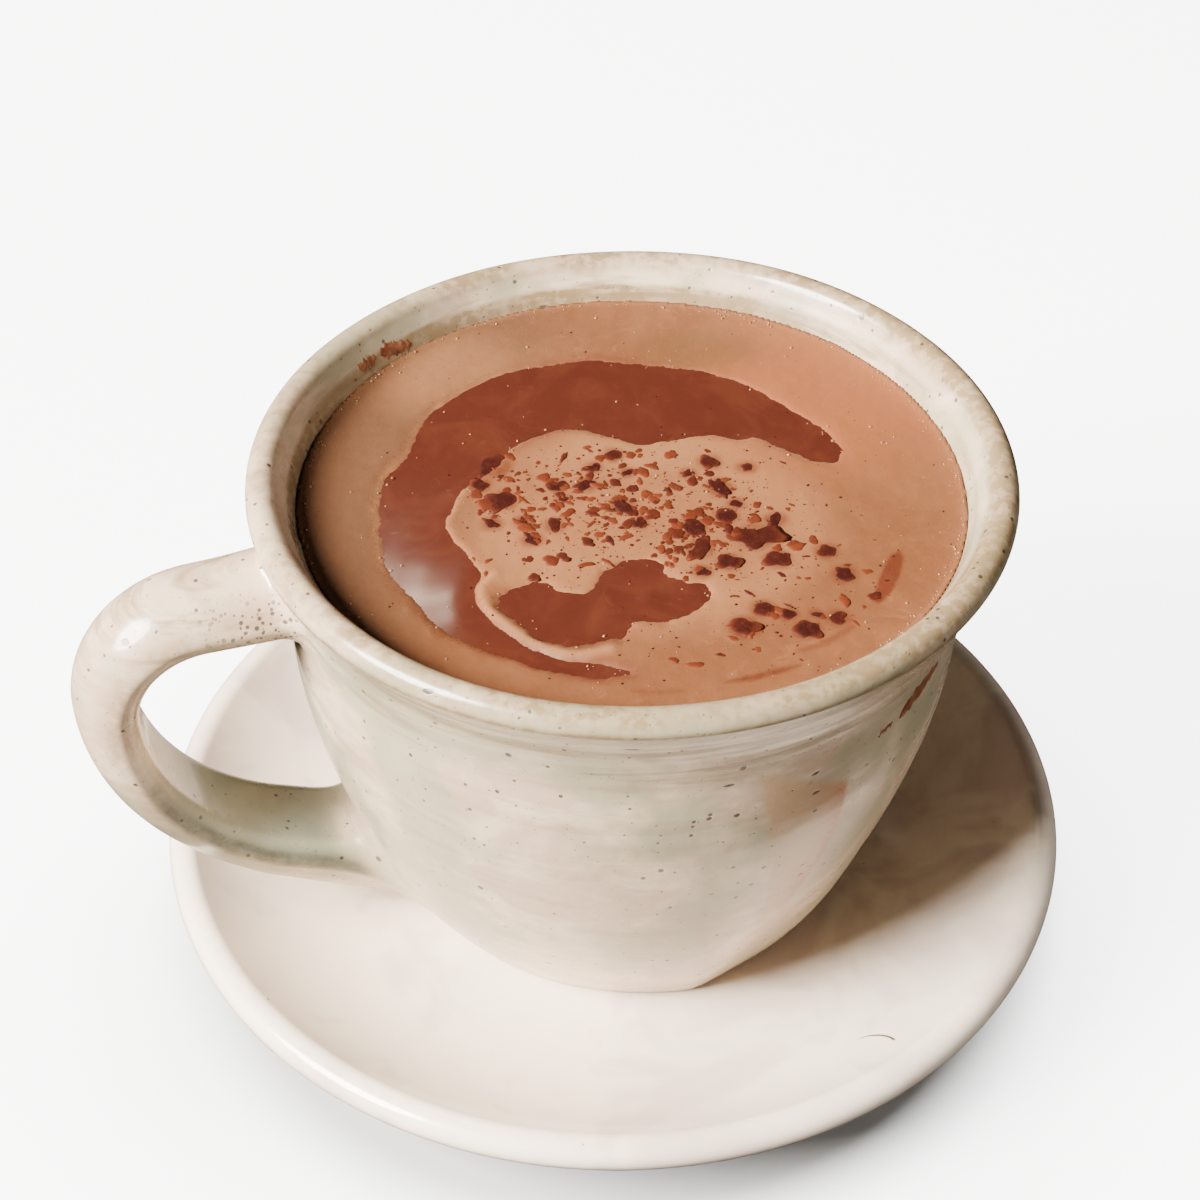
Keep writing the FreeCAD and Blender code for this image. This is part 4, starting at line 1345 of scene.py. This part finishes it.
def make_bubbles(settings, seed):
    """Small bubbles along the wall, along the foam's border and strewn between them."""
    chance = random.Random(seed)
    places = []
    for _ in range(WALL_BUBBLES):
        turn = chance.uniform(0, 2 * math.pi)
        radius = DRINK_RADIUS - 0.15 - abs(chance.gauss(0, 0.7))
        places.append((radius * math.cos(turn), radius * math.sin(turn)))
    border = np.concatenate([smooth_loop(CRESCENT), smooth_loop(POOL)])
    for _ in range(BORDER_BUBBLES):
        x, y = border[chance.randrange(len(border))]
        places.append((x + chance.gauss(0, 0.8), y + chance.gauss(0, 0.8)))
    for _ in range(LOOSE_BUBBLES):
        turn = chance.uniform(0, 2 * math.pi)
        radius = DRINK_RADIUS * math.sqrt(chance.random()) * 0.97
        places.append((radius * math.cos(turn), radius * math.sin(turn)))
    places = np.array(places)
    depths = foam_depth(places)
    heights = surface_height(places, settings)
    parts = []
    for place, height, depth in zip(places, heights, depths):
        if depth < -1.6 and chance.random() < 0.6:
            continue
        wide = 0.18 + 0.36 * chance.random() ** 3
        centre = (place[0], place[1], height - 0.02)
        parts.append(blob(chance, centre, wide, wide * 0.95, 0.0, wide * 0.42, 0.06, 3, 10))
    return make_bits("foam_bubbles", parts, bubble_film(settings))


def smear_film(shape, chance, outside, first, last, width, steps=26, sides=9):
    """A thin ragged film on the wall between two places, each (azimuth in degrees, height)."""
    into_wall, away = (0.0, 1.0) if outside else (shape.s.wall, -1.0)
    shares = [k / (sides - 1) for k in range(sides)]
    # A ring of points runs across the film's face, and back across its underside in the wall.
    section = [(share - 0.5, 0.13 * (1 - (2 * share - 1) ** 2) - 0.02) for share in shares]
    section += [(share - 0.5, -0.15) for share in reversed(shares)]
    points = []
    for k in range(steps + 1):
        share = k / steps
        turn = math.radians(first[0] + (last[0] - first[0]) * share)
        height = first[1] + (last[1] - first[1]) * share
        body = width * math.sqrt(max(4 * share * (1 - share), 0.0)) + 0.02
        body *= 0.75 + 0.5 * chance.random()
        middle = 0.25 * chance.gauss(0, 1)
        for across, lift in section:
            z = SEAT + (height + (across * body + middle))
            radius = shape.wall_radius(z, into_wall) + away * lift
            points.append((math.cos(turn) * radius, math.sin(turn) * radius, z))
    ring = len(section)
    ends = [tuple(reversed(range(ring))), tuple(range(steps * ring, (steps + 1) * ring))]
    return np.array(points), bands(steps + 1, ring) + ends


def make_smears(cup_settings):
    """Dried drink: smears on the outside under the lip, and smudges inside above the drink."""
    shape = CupShape(cup_settings)
    chance = random.Random(11)
    parts = [smear_film(shape, chance, *spec) for spec in SMEARS]
    return make_bits("chocolate_smears", parts, dried_chocolate())


# ---------------------------------------------------------------------------------------------
# Stage


def plain(name, tone, roughness):
    return Finish(name, Roughness=roughness, Base_Color=(*tone, 1.0)).material


def soft_light(name, place, aim, width, power, tone=(1.0, 1.0, 1.0), height=None):
    lamp = bpy.data.lights.new(name, "AREA")
    lamp.shape = "ELLIPSE"
    lamp.size = width
    lamp.size_y = height or width
    lamp.energy = power
    lamp.color = tone
    light = bpy.data.objects.new(name, lamp)
    light.location = place
    light.rotation_euler = (Vector(aim) - Vector(place)).to_track_quat("-Z", "Y").to_euler()
    bpy.context.scene.collection.objects.link(light)
    light.visible_camera = False
    return light


def camera_turns(yaw, down, roll):
    """The camera's right, up and backward directions."""
    ahead = np.array([math.sin(yaw) * math.cos(down), math.cos(yaw) * math.cos(down), -math.sin(down)])
    right = np.array([math.cos(yaw), -math.sin(yaw), 0.0])
    up = np.cross(right, ahead)
    turned_right = math.cos(roll) * right + math.sin(roll) * up
    turned_up = -math.sin(roll) * right + math.cos(roll) * up
    return turned_right, turned_up, -ahead


# The camera's place in millimetres, its turns in degrees, and its lens and sensor.
CAMERA_PLACE = (-6.37, -246.35, 270.92)
CAMERA_YAW, CAMERA_DOWN, CAMERA_ROLL = 0.54, 41.26, 0.57
CAMERA_LENS = 72.0
CAMERA_SENSOR = 36.0
# Half the side of the floor, in metres.
FLOOR_REACH = 12.0


def make_stage(settings):
    """The floor with a light of its own, the object's lights, the room's even light and the camera."""
    work = bmesh.new()
    bmesh.ops.create_grid(work, x_segments=2, y_segments=2, size=FLOOR_REACH)
    mesh = bpy.data.meshes.new("studio_floor")
    work.to_mesh(mesh)
    work.free()
    mesh.materials.append(plain("pale_floor", settings.floor, 0.7))
    floor = bpy.data.objects.new("studio_floor", mesh)
    bpy.context.scene.collection.objects.link(floor)
    key = soft_light("key_light", (-0.85, -0.42, 0.76), (0.0, 0.0, 0.05), 0.66, settings.key_power,
                     (1.0, 0.965, 0.92))
    front = soft_light("front_light", (1.22, -0.70, 0.13), (0.0, 0.0, 0.04), 0.9, settings.front_power,
                       (1.0, 0.97, 0.93))
    window = soft_light("window_light", (-0.101, 0.755, 0.742), (-0.028, -0.016, 0.073), 0.038,
                        settings.window_power, (1.0, 0.80, 0.62), 0.018)
    backdrop = soft_light("floor_light", (0.0, 0.3, 2.2), (0.0, 0.3, 0.0), 2.4, settings.floor_power)
    only_floor = bpy.data.collections.new("only_floor")
    only_floor.objects.link(floor)
    backdrop.light_linking.receiver_collection = only_floor
    front.visible_glossy = False
    floor.visible_diffuse = False
    floor.visible_glossy = False
    world = bpy.data.worlds.new("studio")
    world.use_nodes = True
    background = world.node_tree.nodes["Background"].inputs
    background["Color"].default_value = (1.0, 0.99, 0.98, 1.0)
    background["Strength"].default_value = settings.sky
    bpy.context.scene.world = world
    lens = bpy.data.cameras.new("camera")
    lens.sensor_width = CAMERA_SENSOR
    lens.lens = CAMERA_LENS
    camera = bpy.data.objects.new("camera", lens)
    turns = [math.radians(turn) for turn in (CAMERA_YAW, CAMERA_DOWN, CAMERA_ROLL)]
    rows = [(*row, place * MM) for *row, place in zip(*camera_turns(*turns), CAMERA_PLACE)]
    camera.matrix_world = Matrix((*rows, (0.0, 0.0, 0.0, 1.0)))
    bpy.context.scene.collection.objects.link(camera)
    bpy.context.scene.camera = camera


# ---------------------------------------------------------------------------------------------
# Add-on


class SceneSettings(PropertyGroup):
    cup: PointerProperty(type=CupSettings, name="Cup", description="Sizes and colours of the cup")
    saucer: PointerProperty(type=SaucerSettings, name="Saucer", description="Sizes and colour of the saucer")
    drink: PointerProperty(type=DrinkSettings, name="Drink", description="Look of the drink and its foam")
    flakes: PointerProperty(type=FlakeSettings, name="Flakes", description="Amount and colour of chocolate")
    stage: PointerProperty(type=StageSettings, name="Stage", description="Floor and lights")


class CupOperator(Operator):
    """Make the speckled stoneware cup with its handle"""

    bl_idname = "hot_chocolate.cup"
    bl_label = "Make cup"

    def execute(self, context):
        make_cup(context.scene.hot_chocolate.cup)
        return {"FINISHED"}


class SaucerOperator(Operator):
    """Make the cream saucer"""

    bl_idname = "hot_chocolate.saucer"
    bl_label = "Make saucer"

    def execute(self, context):
        settings = context.scene.hot_chocolate
        make_saucer(settings.saucer, settings.cup.foot_radius)
        return {"FINISHED"}


class DrinkOperator(Operator):
    """Make the liquid chocolate, its foam and their bubbles"""

    bl_idname = "hot_chocolate.drink"
    bl_label = "Make drink and foam"

    def execute(self, context):
        settings = context.scene.hot_chocolate
        make_drink(settings.drink, settings.cup)
        make_foam(settings.drink)
        make_bubbles(settings.drink, settings.flakes.seed + 2)
        return {"FINISHED"}


class FlakesOperator(Operator):
    """Scatter the melted chocolate flakes and cocoa crumbs, and add the dried smears"""

    bl_idname = "hot_chocolate.flakes"
    bl_label = "Make flakes and crumbs"

    def execute(self, context):
        settings = context.scene.hot_chocolate
        make_flakes(settings.flakes, settings.drink)
        make_crumbs(settings.flakes, settings.drink)
        make_smears(settings.cup)
        return {"FINISHED"}


class StageOperator(Operator):
    """Add the pale floor, the soft lights and the camera"""

    bl_idname = "hot_chocolate.stage"
    bl_label = "Make stage"

    def execute(self, context):
        make_stage(context.scene.hot_chocolate.stage)
        return {"FINISHED"}


class ChocolatePanel(Panel):
    bl_idname = "VIEW3D_PT_hot_chocolate"
    bl_label = "Hot chocolate"
    bl_space_type = "VIEW_3D"
    bl_region_type = "UI"
    bl_category = "Hot chocolate"

    def draw(self, context):
        settings = context.scene.hot_chocolate
        for title, operator in (("cup", "cup"), ("saucer", "saucer"), ("drink", "drink"),
                                ("flakes", "flakes"), ("stage", "stage")):
            group = getattr(settings, title)
            box = self.layout.box()
            for name in group.__annotations__:
                box.prop(group, name)
            box.operator("hot_chocolate." + operator)


CLASSES = (
    CupSettings, SaucerSettings, DrinkSettings, FlakeSettings, StageSettings, SceneSettings,
    CupOperator, SaucerOperator, DrinkOperator, FlakesOperator, StageOperator, ChocolatePanel,
)


def register():
    for kind in CLASSES:
        bpy.utils.register_class(kind)
    bpy.types.Scene.hot_chocolate = PointerProperty(type=SceneSettings)


def unregister():
    del bpy.types.Scene.hot_chocolate
    for kind in reversed(CLASSES):
        bpy.utils.unregister_class(kind)


def main():
    register()
    bpy.ops.hot_chocolate.cup()
    bpy.ops.hot_chocolate.saucer()
    bpy.ops.hot_chocolate.drink()
    bpy.ops.hot_chocolate.flakes()
    bpy.ops.hot_chocolate.stage()
    bpy.context.view_layer.update()


if __name__ == "__main__":
    main()
